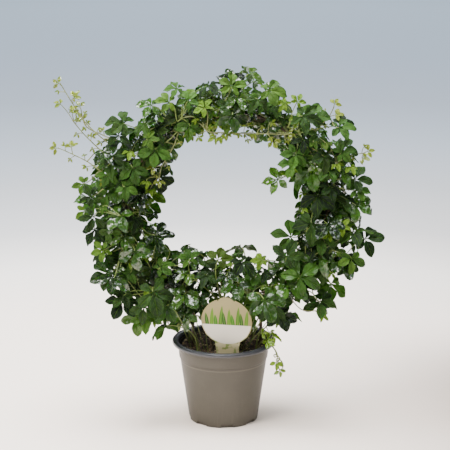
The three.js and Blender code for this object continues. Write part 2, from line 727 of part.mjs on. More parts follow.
// Grows a leaf on a spray: of the first tries that have room, as many as there is choice, the loneliest.
function growLeaf(spray, tryLeaf, choice = 1) {
  const found = [];
  for (let attempt = 0; attempt < TRIES && found.length < choice; attempt++) {
    const leaf = attach(tryLeaf(attempt), spray);
    if (leaf && hasRoom(leaf, spray)) found.push(leaf);
  }
  if (!found.length) return false;
  const leaf = found.reduce((a, b) => (loneliness(b.centre) > loneliness(a.centre) ? b : a));
  grownAt.push(leaf.centre);
  spray.pieces.push(stand(makeLeaf(leaf), spray));
  return true;
}

// Label: a disc with a small rise at its top, on a stake that narrows to its point in the soil
function makeTag() {
  const outline = new THREE.Shape();
  const neck = Math.asin(TAG_STAKE_HALF_WIDTH / TAG_RADIUS);
  const [top, dip, bend] = [Math.PI / 2, 0.36, 0.5];
  outline.absarc(0, 0, TAG_RADIUS, neck - top, top - dip, false);
  outline.absarc(0, TAG_BUMP_RISE, TAG_BUMP_RADIUS, bend, Math.PI - bend, false);
  outline.absarc(0, 0, TAG_RADIUS, top + dip, 3 * top - neck, false);
  const length = (TAG_CENTRE_Z - SOIL_Z) / Math.cos(radians(TAG_LEAN));
  outline.lineTo(2 - TAG_STAKE_HALF_WIDTH, -length);
  outline.lineTo(-TAG_POINT_HALF_WIDTH, -length - TAG_DEPTH);
  outline.lineTo(TAG_POINT_HALF_WIDTH, -length - TAG_DEPTH);
  outline.lineTo(TAG_STAKE_HALF_WIDTH - 2, -length);
  const geometry = new THREE.ExtrudeGeometry(outline, {
    depth: TAG_THICKNESS,
    bevelEnabled: false,
    curveSegments: 6,
  });
  geometry.translate(0, length, -TAG_THICKNESS / 2);
  geometry.rotateX(Math.PI / 2 + radians(TAG_LEAN));
  geometry.rotateZ(radians(-TAG_TURN));
  geometry.translate(TAG_FOOT.x, TAG_FOOT.y, TAG_FOOT.z);
  return solidOf(geometry);
}

function makeTagSlot() {
  const slot = block(vec(26.5, TAG_THICKNESS + 2 * CLEARANCE, TAG_DEPTH * 2 + 2), vec(0, 0, 0));
  const turn = new THREE.Matrix4()
    .makeTranslation(TAG_FOOT.x, TAG_FOOT.y, TAG_FOOT.z)
    .multiply(new THREE.Matrix4().makeRotationZ(radians(-TAG_TURN)))
    .multiply(new THREE.Matrix4().makeRotationX(radians(TAG_LEAN)));
  return slot.transform(turn.elements);
}

// Everything is grown in order, the pot and hoop first
const object = new THREE.Group();
const add = (...details) => object.add(meshOf(...details));

const hoopSteps = Math.round((2 * (SOIL_S + LEG_DEPTH)) / HOOP_STEP);

add("pot", stand(makePot()), COLOURS.pot, 0.55);
add("hoop", stand(tube(new HoopCurve(), WIRE_RADIUS, WIRE_SIDES, hoopSteps)), COLOURS.wire, 0.6);

for (const vine of VINES) add(vine.name, stand(makeVine(vine)), COLOURS.bark, 0.8);
add("tag", stand(makeTag()), COLOURS.tag, 0.5);

// Holes in the soil for the stems, the hoop's legs and the label
const rootHole = (x, y, radius) => {
  const line = new THREE.LineCurve3(vec(x, y, SOIL_Z - PLANTING_DEPTH), vec(x, y, SOIL_Z + 8));
  return tube(line, radius + CLEARANCE + 0.45, 6, 1);
};
const legHole = (s) => {
  const { x } = hoopAt(s).point;
  const line = new THREE.LineCurve3(vec(x, 0, SOIL_Z - LEG_DEPTH - 1), vec(x, 0, SOIL_Z + 8));
  return tube(line, WIRE_RADIUS + CLEARANCE + 0.3, 6, 1);
};
const holes = [
  ...VINES.map(({ soil: [x, y] }) => rootHole(x, y, VINE_RADIUS)),
  ...[...CROWN_SPRAYS, ...RUNNERS]
    .filter(({ root }) => root)
    .map(({ root: [x, y] }) => rootHole(x, y, SHOOT_RADIUS)),
  legHole(-SOIL_S),
  legHole(SOIL_S),
  makeTagSlot(),
];
add("soil", stand(makeSoil(holes)), COLOURS.soil, 0.95);

// Shoots come first, then the leaves with a settled place, each on the nearest spray, and then the others.
const sprays = [...crownSprays(), ...hoopSprays(), ...runnerSprays()];
sprays.forEach(growShoot);
for (const place of PLACED_LEAVES) {
  const at = vec(place[0], place[1], place[2]);
  const near = sprays
    .filter(({ home }) => home)
    .sort((a, b) => a.home.distanceTo(at) - b.home.distanceTo(at))
    .slice(0, 3);
  const grown = near.find((spray) => growLeaf(spray, (attempt) => placedLeaf(place, attempt)));
  if (!grown) console.warn(`no room for the leaf at ${place}`);
}
for (const spray of sprays) {
  for (let number = spray.pieces.length - 1; number < spray.leaves; number++) {
    growLeaf(spray, (attempt) => spray.leaf(spray, number, attempt), CHOICE);
  }
  add(spray.name, union(spray.pieces), spray.home ? COLOURS.leaf : COLOURS.young, 0.35);
}

export default object;
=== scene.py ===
# %% [markdown]
# # A potted grape ivy on a wire hoop
# This lesson dresses a potted climbing plant. A packed model of it is loaded first, as a frame that is
# never changed: it holds the pot, the soil, the hoop, the four woody stems, the label and the plain
# leaves. Each of these could be kept and only coloured, but the frame's leaves are flat facets, so here
# each one gets a finer piece in the same place. All lengths are in metres, Z is up, and the front of the
# plant looks along -Y.

# %% Loading the frame
import math
import random
from itertools import combinations

import bpy
from mathutils import Matrix, Vector
from mathutils.bvhtree import BVHTree


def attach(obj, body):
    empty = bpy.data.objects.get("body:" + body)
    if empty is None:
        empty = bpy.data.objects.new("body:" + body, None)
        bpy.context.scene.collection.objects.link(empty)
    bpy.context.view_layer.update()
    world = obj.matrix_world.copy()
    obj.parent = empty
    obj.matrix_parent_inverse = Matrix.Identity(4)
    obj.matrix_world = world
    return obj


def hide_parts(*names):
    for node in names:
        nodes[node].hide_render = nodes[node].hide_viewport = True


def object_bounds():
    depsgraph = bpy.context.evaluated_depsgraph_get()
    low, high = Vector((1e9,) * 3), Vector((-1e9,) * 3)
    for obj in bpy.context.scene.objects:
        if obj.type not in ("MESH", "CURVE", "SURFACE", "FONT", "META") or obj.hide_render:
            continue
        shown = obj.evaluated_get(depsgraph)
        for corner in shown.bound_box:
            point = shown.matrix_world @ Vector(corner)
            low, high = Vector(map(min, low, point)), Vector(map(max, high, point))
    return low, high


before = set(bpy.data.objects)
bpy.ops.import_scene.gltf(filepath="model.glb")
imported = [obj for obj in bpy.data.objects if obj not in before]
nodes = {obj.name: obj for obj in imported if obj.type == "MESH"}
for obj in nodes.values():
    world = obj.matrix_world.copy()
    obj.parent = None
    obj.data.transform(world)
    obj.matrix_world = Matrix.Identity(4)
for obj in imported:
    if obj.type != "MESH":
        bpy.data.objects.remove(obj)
cad_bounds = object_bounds()
MM = 0.001
box = [tuple(round(c, 4) for c in corner) for corner in cad_bounds]
print("nodes in the frame:", len(nodes), "box:", box)

# %% [markdown]
# ## Camera, floor and light
# The photograph looks a little down on the plant from about two metres away through a long lens, so that
# the pot's far and near rims show as one narrow ellipse. A camera close by would need a wide angle, which
# would swell the pot, so the camera stands back and its angle of view is small.

# %% The camera
bpy.ops.object.camera_add(location=(0.0018, -2.05, 0.78), rotation=(math.radians(75.1), 0, 0))
camera = bpy.context.object
camera.name = "camera"
camera.data.angle = math.radians(13.96)
bpy.context.scene.camera = camera
print("angle of view:", round(math.degrees(camera.data.angle), 2))

# %% [markdown]
# Finishes are written as sums. A small class wraps what comes out of a shader node, and each sum on it
# adds a Math node. Adding and linking such nodes one by one would take a page for each formula.

# %% Shader sums
class Value:
    """What comes out of a node of a finish. A sum on it adds a Math node."""

    def __init__(self, finish, socket):
        self.finish = finish
        self.socket = socket

    def math(self, operation, *values):
        return self.finish.node("ShaderNodeMath", {"operation": operation}, values)

    def __add__(self, other):
        return self.math("ADD", self, other)

    def __sub__(self, other):
        return self.math("SUBTRACT", self, other)

    def __rsub__(self, other):
        return self.math("SUBTRACT", other, self)

    def __mul__(self, other):
        return self.math("MULTIPLY", self, other)

    def __pow__(self, other):
        return self.math("POWER", self, other)

    def __abs__(self):
        return self.math("ABSOLUTE", self)

    __radd__ = __add__
    __rmul__ = __mul__


reflected = [name.strip("_") for name in vars(Value) if name.startswith("__r")]
print("sums that also work with a number on the left:", reflected)

# %% [markdown]
# Colours are written as six figures, as on a paint chart. The shader wants them in linear light, so each is
# worked out anew. A ramp takes several of them, each with its place.

# %% Colours
def set_stops(ramp, stops):
    while len(ramp.elements) < len(stops):
        ramp.elements.new(0.5)
    for element, (position, shade) in zip(ramp.elements, stops):
        element.position = position
        element.color = colour(shade)


def colour(shade):
    """A colour from its six figures, or as it is."""
    if not isinstance(shade, str):
        return shade
    parts = [int(shade[i : i + 2], 16) / 255 for i in (0, 2, 4)]
    return tuple(c / 12.92 if c <= 0.04045 else ((c + 0.055) / 1.055) ** 2.4 for c in parts) + (1.0,)


print("a mid grey in the shader:", [round(c, 3) for c in colour("808080")])

# %% [markdown]
# A finish is a new material with its shader. One method adds any node from its type, its settings and its
# inputs, and a few more are short names for the nodes that come back in every finish: noise, a band of
# values, a blend of two colours and a bump.

# %% A finish and its nodes
class Finish:
    """A material being made, with its shader and the nodes that feed it."""

    def __init__(self, name):
        self.material = bpy.data.materials.new(name)
        self.material.use_nodes = True
        self.tree = self.material.node_tree
        self.shader = self.tree.nodes["Principled BSDF"]

    def node(self, kind, settings=None, inputs=(), output=0):
        made = self.tree.nodes.new(kind)
        for key, value in (settings or {}).items():
            if key == "stops":
                set_stops(made.color_ramp, value)
            else:
                setattr(made, key, value)
        pairs = inputs.items() if isinstance(inputs, dict) else enumerate(inputs)
        for key, value in pairs:
            self.feed(made.inputs[key], value)
        return Value(self, made.outputs[output])

    def feed(self, socket, value):
        if isinstance(value, Value):
            self.tree.links.new(value.socket, socket)
        else:
            socket.default_value = value

    def set(self, **values):
        for key, value in values.items():
            self.feed(self.shader.inputs[key.replace("_", " ")], value)

    def place(self):
        return self.node("ShaderNodeTexCoord", output="Object")

    def part(self, vector, axis):
        return self.node("ShaderNodeSeparateXYZ", inputs=[vector], output=axis)

    def noise(self, vector, scale, detail=3.0):
        inputs = {"Vector": vector, "Scale": scale, "Detail": detail}
        return self.node("ShaderNodeTexNoise", inputs=inputs, output="Fac")

    def band(self, value, low, high):
        inputs = {"Value": value, "From Min": low, "From Max": high}
        return self.node("ShaderNodeMapRange", {"interpolation_type": "SMOOTHSTEP"}, inputs)

    def stripe(self, value, start, full, still, end):
        """A share of 1 from full to still, which fades to 0 at start and at end."""
        return self.band(value, start, full) * (1 - self.band(value, still, end))

    def blend(self, share, one, other):
        inputs = {"Factor": share, 6: colour(one), 7: colour(other)}
        return self.node("ShaderNodeMix", {"data_type": "RGBA"}, inputs, output=2)

    def attribute(self, name):
        return self.node("ShaderNodeAttribute", {"attribute_name": name}, output="Fac")

    def bump(self, height, distance, strength=1.0):
        inputs = {"Height": height, "Distance": distance, "Strength": strength}
        return self.node("ShaderNodeBump", inputs=inputs)


print("short names for nodes:", [name for name in vars(Finish) if not name.startswith("__")])

# %% [markdown]
# The floor of the studio is plain: warm off-white near the pot and blue-grey far behind it. A curved
# backdrop would stand in the way of the other views, so the floor is one wide disc, and its colour changes
# with the distance from the pot. The photograph has a soft brown shade on the floor to the right of the
# pot. The lamps alone leave it too pale, so the finish deepens it there, most of all near the pot.

# %% The floor
def deselect():
    for other in list(bpy.context.selected_objects):
        other.select_set(False)


def dress(piece, *finishes):
    piece.data.materials.clear()
    for finish in finishes:
        piece.data.materials.append(finish.material)


FLOOR_RADIUS = 12
FADE_REACH = 4.5

deselect()
bpy.ops.mesh.primitive_circle_add(vertices=96, radius=FLOOR_RADIUS, fill_type="NGON")
floor = bpy.context.object
floor.name = "studio_floor"
bpy.ops.object.mode_set(mode="EDIT")
bpy.ops.mesh.inset(thickness=8)
bpy.ops.mesh.inset(thickness=2.5)
bpy.ops.object.mode_set(mode="OBJECT")

floor_paper = Finish("floor_paper")
spot = floor_paper.place()
away = floor_paper.node("ShaderNodeVectorMath", {"operation": "LENGTH"}, [spot], output="Value")
fade = [
    (0.0, "FFEEDF"), (0.1, "FDEFE4"), (0.15, "F0EAE4"), (0.2, "C6C5C6"), (0.27, "B1B4B9"),
    (0.34, "A7B0BB"), (0.44, "A1ABB8"), (0.55, "A8B5C6"), (0.76, "BACADC"), (1.0, "BACADC"),
]
paper = floor_paper.node("ShaderNodeValToRGB", {"stops": fade}, [away * (1 / FADE_REACH)])
# A painted shadow: the floor's colour is darkened to the right of the pot, most of all near it.
beside = floor_paper.stripe(floor_paper.part(spot, "X"), 0.02, 0.4, 0.4, 0.9)
beside = beside * floor_paper.band(away, 1.6, 0.7)
depth = floor_paper.part(spot, "Y")
near = floor_paper.band(depth, 0.4, 0.05) * (1 - floor_paper.band(depth, 0.03, -0.1) * 0.3)
paper = floor_paper.blend(beside * (0.2 + near * 0.75), paper, "7F7066")
grain = floor_paper.noise(spot, 400)
floor_paper.set(Base_Color=paper, Roughness=0.92, Normal=floor_paper.bump(grain, 0.0001))
dress(floor, floor_paper)
print("floor:", len(floor.data.polygons), "faces")

# %% [markdown]
# One large lamp from the upper left gives the soft shadow to the right of the pot. A wide lamp overhead
# gives the pale sheen on leaves that look up, and a weak one from the right keeps the shaded side open.
# Four more lamps stand far out in a ring and light the far floor, so that it looks alike from every side.

# %% The lamps
def soft_lamp(name, place, towards, size, power, shade):
    deselect()
    bpy.ops.object.light_add(type="AREA", location=place)
    lamp = bpy.context.object
    lamp.name = name
    lamp.rotation_euler = (Vector(towards) - Vector(place)).to_track_quat("-Z", "Y").to_euler()
    lamp.data.shape = "DISK"
    lamp.data.size = size
    lamp.data.energy = power
    lamp.data.color = shade


MIDDLE = (0, 0, 0.2)
soft_lamp("lamp_key", (-1.4, -1.3, 2.0), MIDDLE, 1.2, 93, (1.0, 0.98, 0.95))
soft_lamp("lamp_top", (-0.1, 0.1, 2.1), MIDDLE, 1.5, 142, (0.96, 0.98, 1.0))
soft_lamp("lamp_fill", (1.9, -1.2, 1.0), MIDDLE, 1.4, 7, (1.0, 0.98, 0.96))
for number, (x, y) in enumerate(((0, 3.9), (3.9, 0), (-3.9, 0), (0, -3.9))):
    lit = (0.95 * x, 0.95 * y, 0)
    soft_lamp(f"lamp_backdrop_{number}", (x, y, 2.9), lit, 2.2, 72, (0.9, 0.96, 1.0))

world = bpy.data.worlds.new("studio")
bpy.context.scene.world = world
world.use_nodes = True
background = world.node_tree.nodes["Background"]
background.inputs["Color"].default_value = (0.8, 0.82, 0.84, 1)
background.inputs["Strength"].default_value = 0.18

# %% [markdown]
# ## Helpers for modelling
# The same few moves come back in every piece: choosing points by where they are, moving or widening them,
# applying a modifier, and joining pieces. A finished piece keeps its object at the origin and has its place
# in its mesh, as the frame's nodes do. The last helper sets a piece on the plant's body, hides the nodes
# it replaces, and prints its size.

# %% Choosing, moving and joining
def choose(piece, test):
    """Selects the points that pass a test, and leaves the piece in edit mode."""
    if bpy.context.mode != "EDIT_MESH":
        bpy.ops.object.mode_set(mode="EDIT")
    bpy.ops.mesh.select_all(action="DESELECT")
    bpy.ops.object.mode_set(mode="OBJECT")
    for point in piece.data.vertices:
        point.select = test(point.co)
    bpy.ops.object.mode_set(mode="EDIT")


def leave_edit():
    bpy.ops.object.mode_set(mode="OBJECT")


def take(*pieces):
    """Selects these pieces alone, and makes the first one active."""
    deselect()
    for piece in pieces:
        piece.select_set(True)
    bpy.context.view_layer.objects.active = pieces[0]


def apply(piece, kind, **settings):
    modifier = piece.modifiers.new(kind.lower(), kind)
    for key, value in settings.items():
        setattr(modifier, key, value)
    take(piece)
    bpy.ops.object.modifier_apply(modifier=modifier.name)


def join(name, pieces):
    take(*pieces)
    if len(pieces) > 1:
        bpy.ops.object.join()
    pieces[0].name = name
    pieces[0].data.name = name
    return pieces[0]


def smooth(piece, angle):
    take(piece)
    bpy.ops.object.shade_smooth_by_angle(angle=math.radians(angle))


def hand_in(piece, slot, *replaced):
    """The piece rides on the plant's one body, and stands for the nodes it replaces."""
    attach(piece, "root")
    if replaced:
        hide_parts(*replaced)
    low, high = (Vector(c) for c in (piece.bound_box[0], piece.bound_box[6]))
    size = [round(1000 * c, 1) for c in high - low]
    print(f"{piece.name}: {len(piece.data.polygons)} faces, {size} mm")


# %% [markdown]
# ## The pot
# The pot is an injection-moulded nursery pot: matt taupe plastic, a smooth slate-grey lip, a collar line a
# little below it and drain notches in its foot. A turned shape is a profile that goes once round an axis.
# Spin does that with the profile as a chain of points, and a fine step keeps its outline round.

# %% The pot's profile, spun round its axis
POT_PROFILE = [
    (0.0, 0.0), (21.0, 0.0), (23.0, 2.4), (35.0, 2.4), (36.5, 0.0), (39.6, 0.0), (40.3, 0.5),
    (51.0, 75.3), (51.3, 75.5), (51.8, 76.2), (51.95, 76.8), (53.4, 91.6), (53.9, 92.1), (58.6, 92.4),
    (59.5, 92.8), (60.0, 93.8), (60.0, 95.0), (59.6, 96.2), (58.6, 96.9), (57.2, 97.0), (54.8, 97.0),
    (53.6, 96.6), (52.4, 95.2), (51.9, 93.6), (39.5, 4.2), (0.0, 4.2),
]
POT_ROUND = 96


def chain(name, profile):
    """A chain of points in the XZ plane, made from one point that is extruded on from place to place."""
    deselect()
    bpy.ops.mesh.primitive_plane_add(size=0.01)
    piece = bpy.context.object
    piece.name = name
    bpy.ops.object.mode_set(mode="EDIT")
    bpy.ops.mesh.merge(type="CENTER")
    places = [Vector((r, 0, z)) * MM for r, z in profile]
    bpy.ops.transform.translate(value=places[0])
    for last, place in zip(places, places[1:]):
        bpy.ops.mesh.extrude_region_move(TRANSFORM_OT_translate={"value": place - last})
    return piece


def spin_round(steps):
    bpy.ops.mesh.select_all(action="SELECT")
    bpy.ops.mesh.spin(steps=steps, angle=2 * math.pi, center=(0, 0, 0), axis=(0, 0, 1), use_auto_merge=True)
    bpy.ops.mesh.select_all(action="SELECT")
    bpy.ops.mesh.remove_doubles(threshold=1e-6)
    bpy.ops.mesh.normals_make_consistent(inside=False)
    leave_edit()


pot = chain("flower_pot", POT_PROFILE)
spin_round(POT_ROUND)
print("spun pot:", len(pot.data.polygons), "faces")

# %% [markdown]
# The foot is open for drainage at eight places, and two blocks cut each of them. A wide block sets a
# shallow recess into the foot's outside, and a narrow one goes up through the floor inside the foot. Cutting
# with one block after another would take sixteen steps, so the blocks are joined and the pot is cut once.

# %% Drain notches
DRAIN_COUNT = 8
DRAIN_FIRST_ANGLE = 6
RECESS = ((8, 14, 8.8), (42, 0, 0))
FLOOR_HOLE = ((7, 6, 12), (29, 0, 3))


def cutting_block(size, centre):
    """A block with rounded edges, from its size and its middle in millimetres."""
    deselect()
    place = [c * MM for c in centre]
    bpy.ops.mesh.primitive_cube_add(size=1, location=place, scale=[c * MM for c in size])
    block = bpy.context.object
    bpy.ops.object.transform_apply(location=True, rotation=True, scale=True)
    bpy.ops.object.mode_set(mode="EDIT")
    bpy.ops.mesh.select_all(action="SELECT")
    bpy.ops.mesh.bevel(offset=0.0008, segments=2)
    leave_edit()
    return block


notch_blocks = []
for number in range(DRAIN_COUNT):
    angle = DRAIN_FIRST_ANGLE + 360 / DRAIN_COUNT * number - 90
    for size, centre in (RECESS, FLOOR_HOLE):
        block = cutting_block(size, centre)
        block.data.transform(Matrix.Rotation(math.radians(angle), 4, "Z"))
        notch_blocks.append(block)
notches = join("notches", notch_blocks)
apply(pot, "BOOLEAN", object=notches, operation="DIFFERENCE", solver="EXACT", use_self=True)
bpy.data.objects.remove(notches)
smooth(pot, 35)
print("cut pot:", len(pot.data.polygons), "faces")

# %% [markdown]
# The taupe plastic is matt with a fine moulded grain, faint rings from the mould and some dried water
# marks low down. The lip is smoother and bluish grey. Both are one finish: the height on the pot tells
# where the lip starts, and where the collar has a painted shade in its groove and a painted highlight on the
# ridge below it.

# %% Pot plastic
pot_plastic = Finish("pot_plastic")
spot = pot_plastic.place()
height = pot_plastic.part(spot, "Z")
cloud = pot_plastic.noise(spot, 38, 4)
speck = pot_plastic.noise(spot, 900, 2)
long_grain = pot_plastic.node("ShaderNodeMapping", inputs={"Vector": spot, "Scale": (1, 1, 0.06)})
streaks = pot_plastic.noise(long_grain, 260, 2)
body = pot_plastic.blend(pot_plastic.band(cloud, 0.35, 0.7), "3B372D", "413D33")
body = pot_plastic.blend(pot_plastic.band(speck, 0.62, 0.8) * 0.3, body, "665E52")
marks = pot_plastic.band(streaks, 0.56, 0.74) * (1 - pot_plastic.band(height, 0.0, 0.06)) * 0.12
body = pot_plastic.blend(marks, body, "6E675B")
# Painted shade darkens the collar's groove, and a painted highlight lightens the ridge below it.
painted_groove_shade = pot_plastic.stripe(height, 0.0738, 0.0753, 0.0755, 0.0762)
body = pot_plastic.blend(painted_groove_shade * 0.7, body, "2A2621")
painted_ridge_highlight = pot_plastic.stripe(height, 0.0716, 0.0726, 0.073, 0.0738)
body = pot_plastic.blend(painted_ridge_highlight * 0.25, body, "746C5F")
lip = pot_plastic.blend(pot_plastic.band(cloud, 0.3, 0.7), "2E2F33", "38393C")
is_lip = pot_plastic.band(height, 0.0915, 0.0923)
rings = height.math("SINE", height * 2600) * (1 - pot_plastic.band(height, 0.06, 0.09))
fine = pot_plastic.noise(spot, 1500, 2)
height_map = fine * 0.6 + cloud * 0.8 + rings * 0.12
rough = 0.52 - is_lip * 0.28 + (cloud - 0.5) * 0.12
pot_plastic.set(
    Base_Color=pot_plastic.blend(is_lip, body, lip),
    Roughness=rough,
    Normal=pot_plastic.bump(height_map, 0.00012, 0.8),
)
dress(pot, pot_plastic)
hand_in(pot, "pot", "pot")

# %% [markdown]
# ## The soil
# Potting mix fills the pot to a finger's breadth below its lip. It is dark and crumbled, and rises a little
# towards the pot's wall, with lighter bits of bark lying on it. Its top is closed with one face, divided by
# insets to fine rings, and lifted ring by ring. A cloud texture then pushes it up and down for the crumbs.

# %% The body of soil
SOIL_Z = 87 * MM
SOIL_PROFILE = [(0, 4.6), (39.1, 4.6), (50.4, 84.6)]
SOIL_EDGE = 0.0495
EDGE_RISES = ((0.044, 0.0026), (0.038, 0.0014), (0.032, 0.0008))
SOIL_ROUND = 72

soil = chain("potting_soil", SOIL_PROFILE)
spin_round(SOIL_ROUND)
choose(soil, lambda p: p.z > 0.084)
bpy.ops.mesh.select_mode(type="EDGE")
bpy.ops.mesh.edge_face_add()
for width in [2.2] + 13 * [3]:
    bpy.ops.mesh.inset(thickness=width * MM)
bpy.ops.mesh.poke()
bpy.ops.mesh.select_mode(type="VERT")
choose(soil, lambda p: p.z > 0.084 and math.hypot(p.x, p.y) < SOIL_EDGE)
bpy.ops.transform.translate(value=(0, 0, 0.0022))
for inner, rise in EDGE_RISES:
    choose(soil, lambda p: p.z > 0.086 and inner < math.hypot(p.x, p.y) < SOIL_EDGE)
    bpy.ops.transform.translate(value=(0, 0, rise))
choose(soil, lambda p: p.z > 0.0845)
bpy.ops.mesh.subdivide(number_cuts=1)
leave_edit()

crumbs = bpy.data.textures.new("soil_crumbs", "CLOUDS")
crumbs.noise_scale = 0.005
crumbs.noise_depth = 3
top = soil.vertex_groups.new(name="top")
top.add([v.index for v in soil.data.vertices if v.co.z > 0.0855], 1.0, "REPLACE")
settings = {"texture": crumbs, "texture_coords": "LOCAL", "direction": "Z", "vertex_group": "top"}
apply(soil, "DISPLACE", strength=0.0042, mid_level=0.55, **settings)
soil.vertex_groups.clear()
smooth(soil, 60)
print("highest crumb:", round(1000 * max(v.co.z for v in soil.data.vertices), 1), "mm")

# %% [markdown]
# Damp potting mix is brown on its lumps, and painted shade makes its hollows nearly black. Noise of two
# sizes gives the lumps and the fibres, and single cells of a Voronoi pattern give the pale bits.

# %% Potting mix
potting_mix = Finish("potting_mix")
spot = potting_mix.place()
lumps = potting_mix.noise(spot, 190, 5)
fibre = potting_mix.noise(spot, 700, 4)
bits_inputs = {"Vector": spot, "Scale": 420.0}
bits = potting_mix.node("ShaderNodeTexVoronoi", {"feature": "F1"}, bits_inputs, output="Color")
bit = potting_mix.band(potting_mix.part(bits, "X"), 0.78, 0.84) * potting_mix.band(fibre, 0.45, 0.55)
# The mix's own brown, with painted shade that darkens the hollows between the lumps to nearly black.
mix_with_hollow_shade = potting_mix.blend(potting_mix.band(lumps, 0.35, 0.65), "221A13", "4B3929")
mix_with_hollow_shade = potting_mix.blend(potting_mix.band(fibre, 0.55, 0.75) * 0.5, mix_with_hollow_shade, "6C563E")
potting_mix.set(
    Base_Color=potting_mix.blend(bit, mix_with_hollow_shade, "8A775A"),
    Roughness=0.88 + fibre * 0.1,
    Normal=potting_mix.bump(lumps + fibre * 0.5, 0.0012),
)
dress(soil, potting_mix)
hand_in(soil, "soil", "soil")

# %% [markdown]
# Loose bark lies on the soil. Four chips are modelled, each a ball whose points are moved at random and
# which is then pressed flat, and copies of them are scattered over the soil, turned and leaned at random.
# Each copy has a tone of its own, from dark peat to pale wood.

# %% Loose bark on the soil
CHIP_COUNT = 420
CHIP_SIZES = (0.7, 0.9, 1.2, 1.6, 2.3)
SCATTER_RADIUS = 0.0475


def model_chip(number):
    deselect()
    bpy.ops.mesh.primitive_ico_sphere_add(subdivisions=1, radius=1)
    chip = bpy.context.object
    pick = random.Random(number)
    bpy.ops.object.mode_set(mode="EDIT")
    bpy.ops.mesh.select_all(action="SELECT")
    bpy.ops.transform.vertex_random(offset=0.35, seed=number + 3)
    bpy.ops.transform.resize(value=(1, pick.uniform(0.5, 0.8), pick.uniform(0.25, 0.45)))
    leave_edit()
    return chip


def copy_of(model, name):
    copied = model.copy()
    copied.data = model.data.copy()
    copied.name = name
    bpy.context.scene.collection.objects.link(copied)
    return copied


def soil_height(x, y):
    hit, place = soil.ray_cast(Vector((x, y, 0.12)), Vector((0, 0, -1)))[:2]
    return place.z if hit else SOIL_Z


def mark(piece, **values):
    """Gives all of a piece's points the same value of each attribute."""
    for name, value in values.items():
        made = piece.data.attributes.new(name, "FLOAT", "POINT")
        made.data.foreach_set("value", [value] * len(piece.data.vertices))


chips = [model_chip(number) for number in range(4)]
pick = random.Random(41)
scattered = []
for number in range(CHIP_COUNT):
    way = SCATTER_RADIUS * math.sqrt(pick.random())
    turn = pick.uniform(0, 2 * math.pi)
    x, y = way * math.cos(turn), way * math.sin(turn)
    size = pick.choice(CHIP_SIZES) * MM
    lean = Matrix.Rotation(pick.uniform(0, 6.28), 4, "Z") @ Matrix.Rotation(pick.uniform(-0.5, 0.5), 4, "X")
    chip = copy_of(chips[number % len(chips)], "bark_chip")
    at = Matrix.Translation((x, y, soil_height(x, y) + 0.1 * size))
    chip.data.transform(at @ lean @ Matrix.Scale(size, 4))
    mark(chip, tone=pick.random())
    scattered.append(chip)
bark_chips = join("bark_chips", scattered)
for chip in chips:
    bpy.data.objects.remove(chip)
print("chips scattered:", CHIP_COUNT)

# %% [markdown]
# All chips share one finish. A ramp turns a chip's tone into its colour, and a fine noise that shifts the
# tone along the chip looks like torn fibres.

# %% The finish of the loose bark
chip_bark = Finish("chip_bark")
spot = chip_bark.place()
tone = chip_bark.attribute("tone")
streak = chip_bark.noise(spot, 900, 4)
shades = [(0.0, "1E1611"), (0.35, "3F2E20"), (0.7, "836C48"), (1.0, "C4B38A")]
bark_tone = chip_bark.node("ShaderNodeValToRGB", {"stops": shades}, [tone + (streak - 0.5) * 0.4])
chip_bark.set(Base_Color=bark_tone, Roughness=0.85, Normal=chip_bark.bump(streak, 0.0004))
dress(bark_chips, chip_bark)
hand_in(bark_chips, "soil")

# %% [markdown]
# ## The hoop
# The hoop is one length of wire in a brown plastic coat, bent to a circle that stands open below, where
# its two ends turn down into the soil. A tube along a line of points gives the wire. The line is worked
# out from the hoop's own sizes, because the stems that wind round it need the same line.

# %% The hoop's line
HOOP_CENTRE = Vector((4, 0, 252)) * MM
HOOP_RADIUS = 115 * MM
HOOP_END = math.radians(156)
BEND_RADIUS = 12 * MM
LEG_IN_SOIL = 0.0275
FRONT = Vector((0, -1, 0))
UP = Vector((0, 0, 1))
HOOP_ARC = HOOP_END * HOOP_RADIUS
BEND_TURN = HOOP_END - math.pi / 2


def hoop_at(s):
    """The wire's middle at a distance s along it from its top, to the right where s is positive, with the
    direction that looks outwards from the ring there and the direction along it."""
    side = -1 if s < 0 else 1
    way = abs(s)
    bent = min(max((way - HOOP_ARC) / BEND_RADIUS, 0), BEND_TURN)
    down = max(0, way - HOOP_ARC - BEND_RADIUS * BEND_TURN)
    heading = bent - min(way, HOOP_ARC) / HOOP_RADIUS
    turn = min(way / HOOP_RADIUS, HOOP_END)
    x = HOOP_RADIUS * math.sin(turn)
    z = HOOP_RADIUS * math.cos(turn) - down
    if bent > 0:
        x += BEND_RADIUS * (math.sin(heading) + math.sin(HOOP_END))
        z += BEND_RADIUS * (math.cos(HOOP_END) - math.cos(heading))
    point = HOOP_CENTRE + Vector((side * x, 0, z))
    outward = Vector((-side * math.sin(heading), 0, math.cos(heading)))
    along = Vector((math.cos(heading), 0, side * math.sin(heading)))
    return point, outward, along


LEG_S = HOOP_ARC + BEND_RADIUS * BEND_TURN
SOIL_S = LEG_S + hoop_at(LEG_S)[0].z - SOIL_Z
print("wire above the soil:", round(2000 * SOIL_S), "mm")

# %% [markdown]
# A curve with a bevel depth is a round tube, and its radius may change from point to point. Turned into a
# mesh it can be joined and dressed like any other piece. The stems and stalks are drawn in this way too.

# %% A tube along points
def tube(name, lines, radius, round_steps):
    """Round tubes along lines of points. Each point is its place and its share of the radius."""
    curve = bpy.data.curves.new(name, "CURVE")
    curve.dimensions = "3D"
    curve.bevel_depth = radius
    curve.bevel_resolution = round_steps
    curve.use_fill_caps = True
    for line in lines:
        spline = curve.splines.new("POLY")
        spline.points.add(len(line) - 1)
        for point, (place, share) in zip(spline.points, line):
            point.co = (*place, 1)
            point.radius = share
    piece = bpy.data.objects.new(name, curve)
    bpy.context.scene.collection.objects.link(piece)
    take(piece)
    bpy.ops.object.convert(target="MESH")
    return bpy.context.object


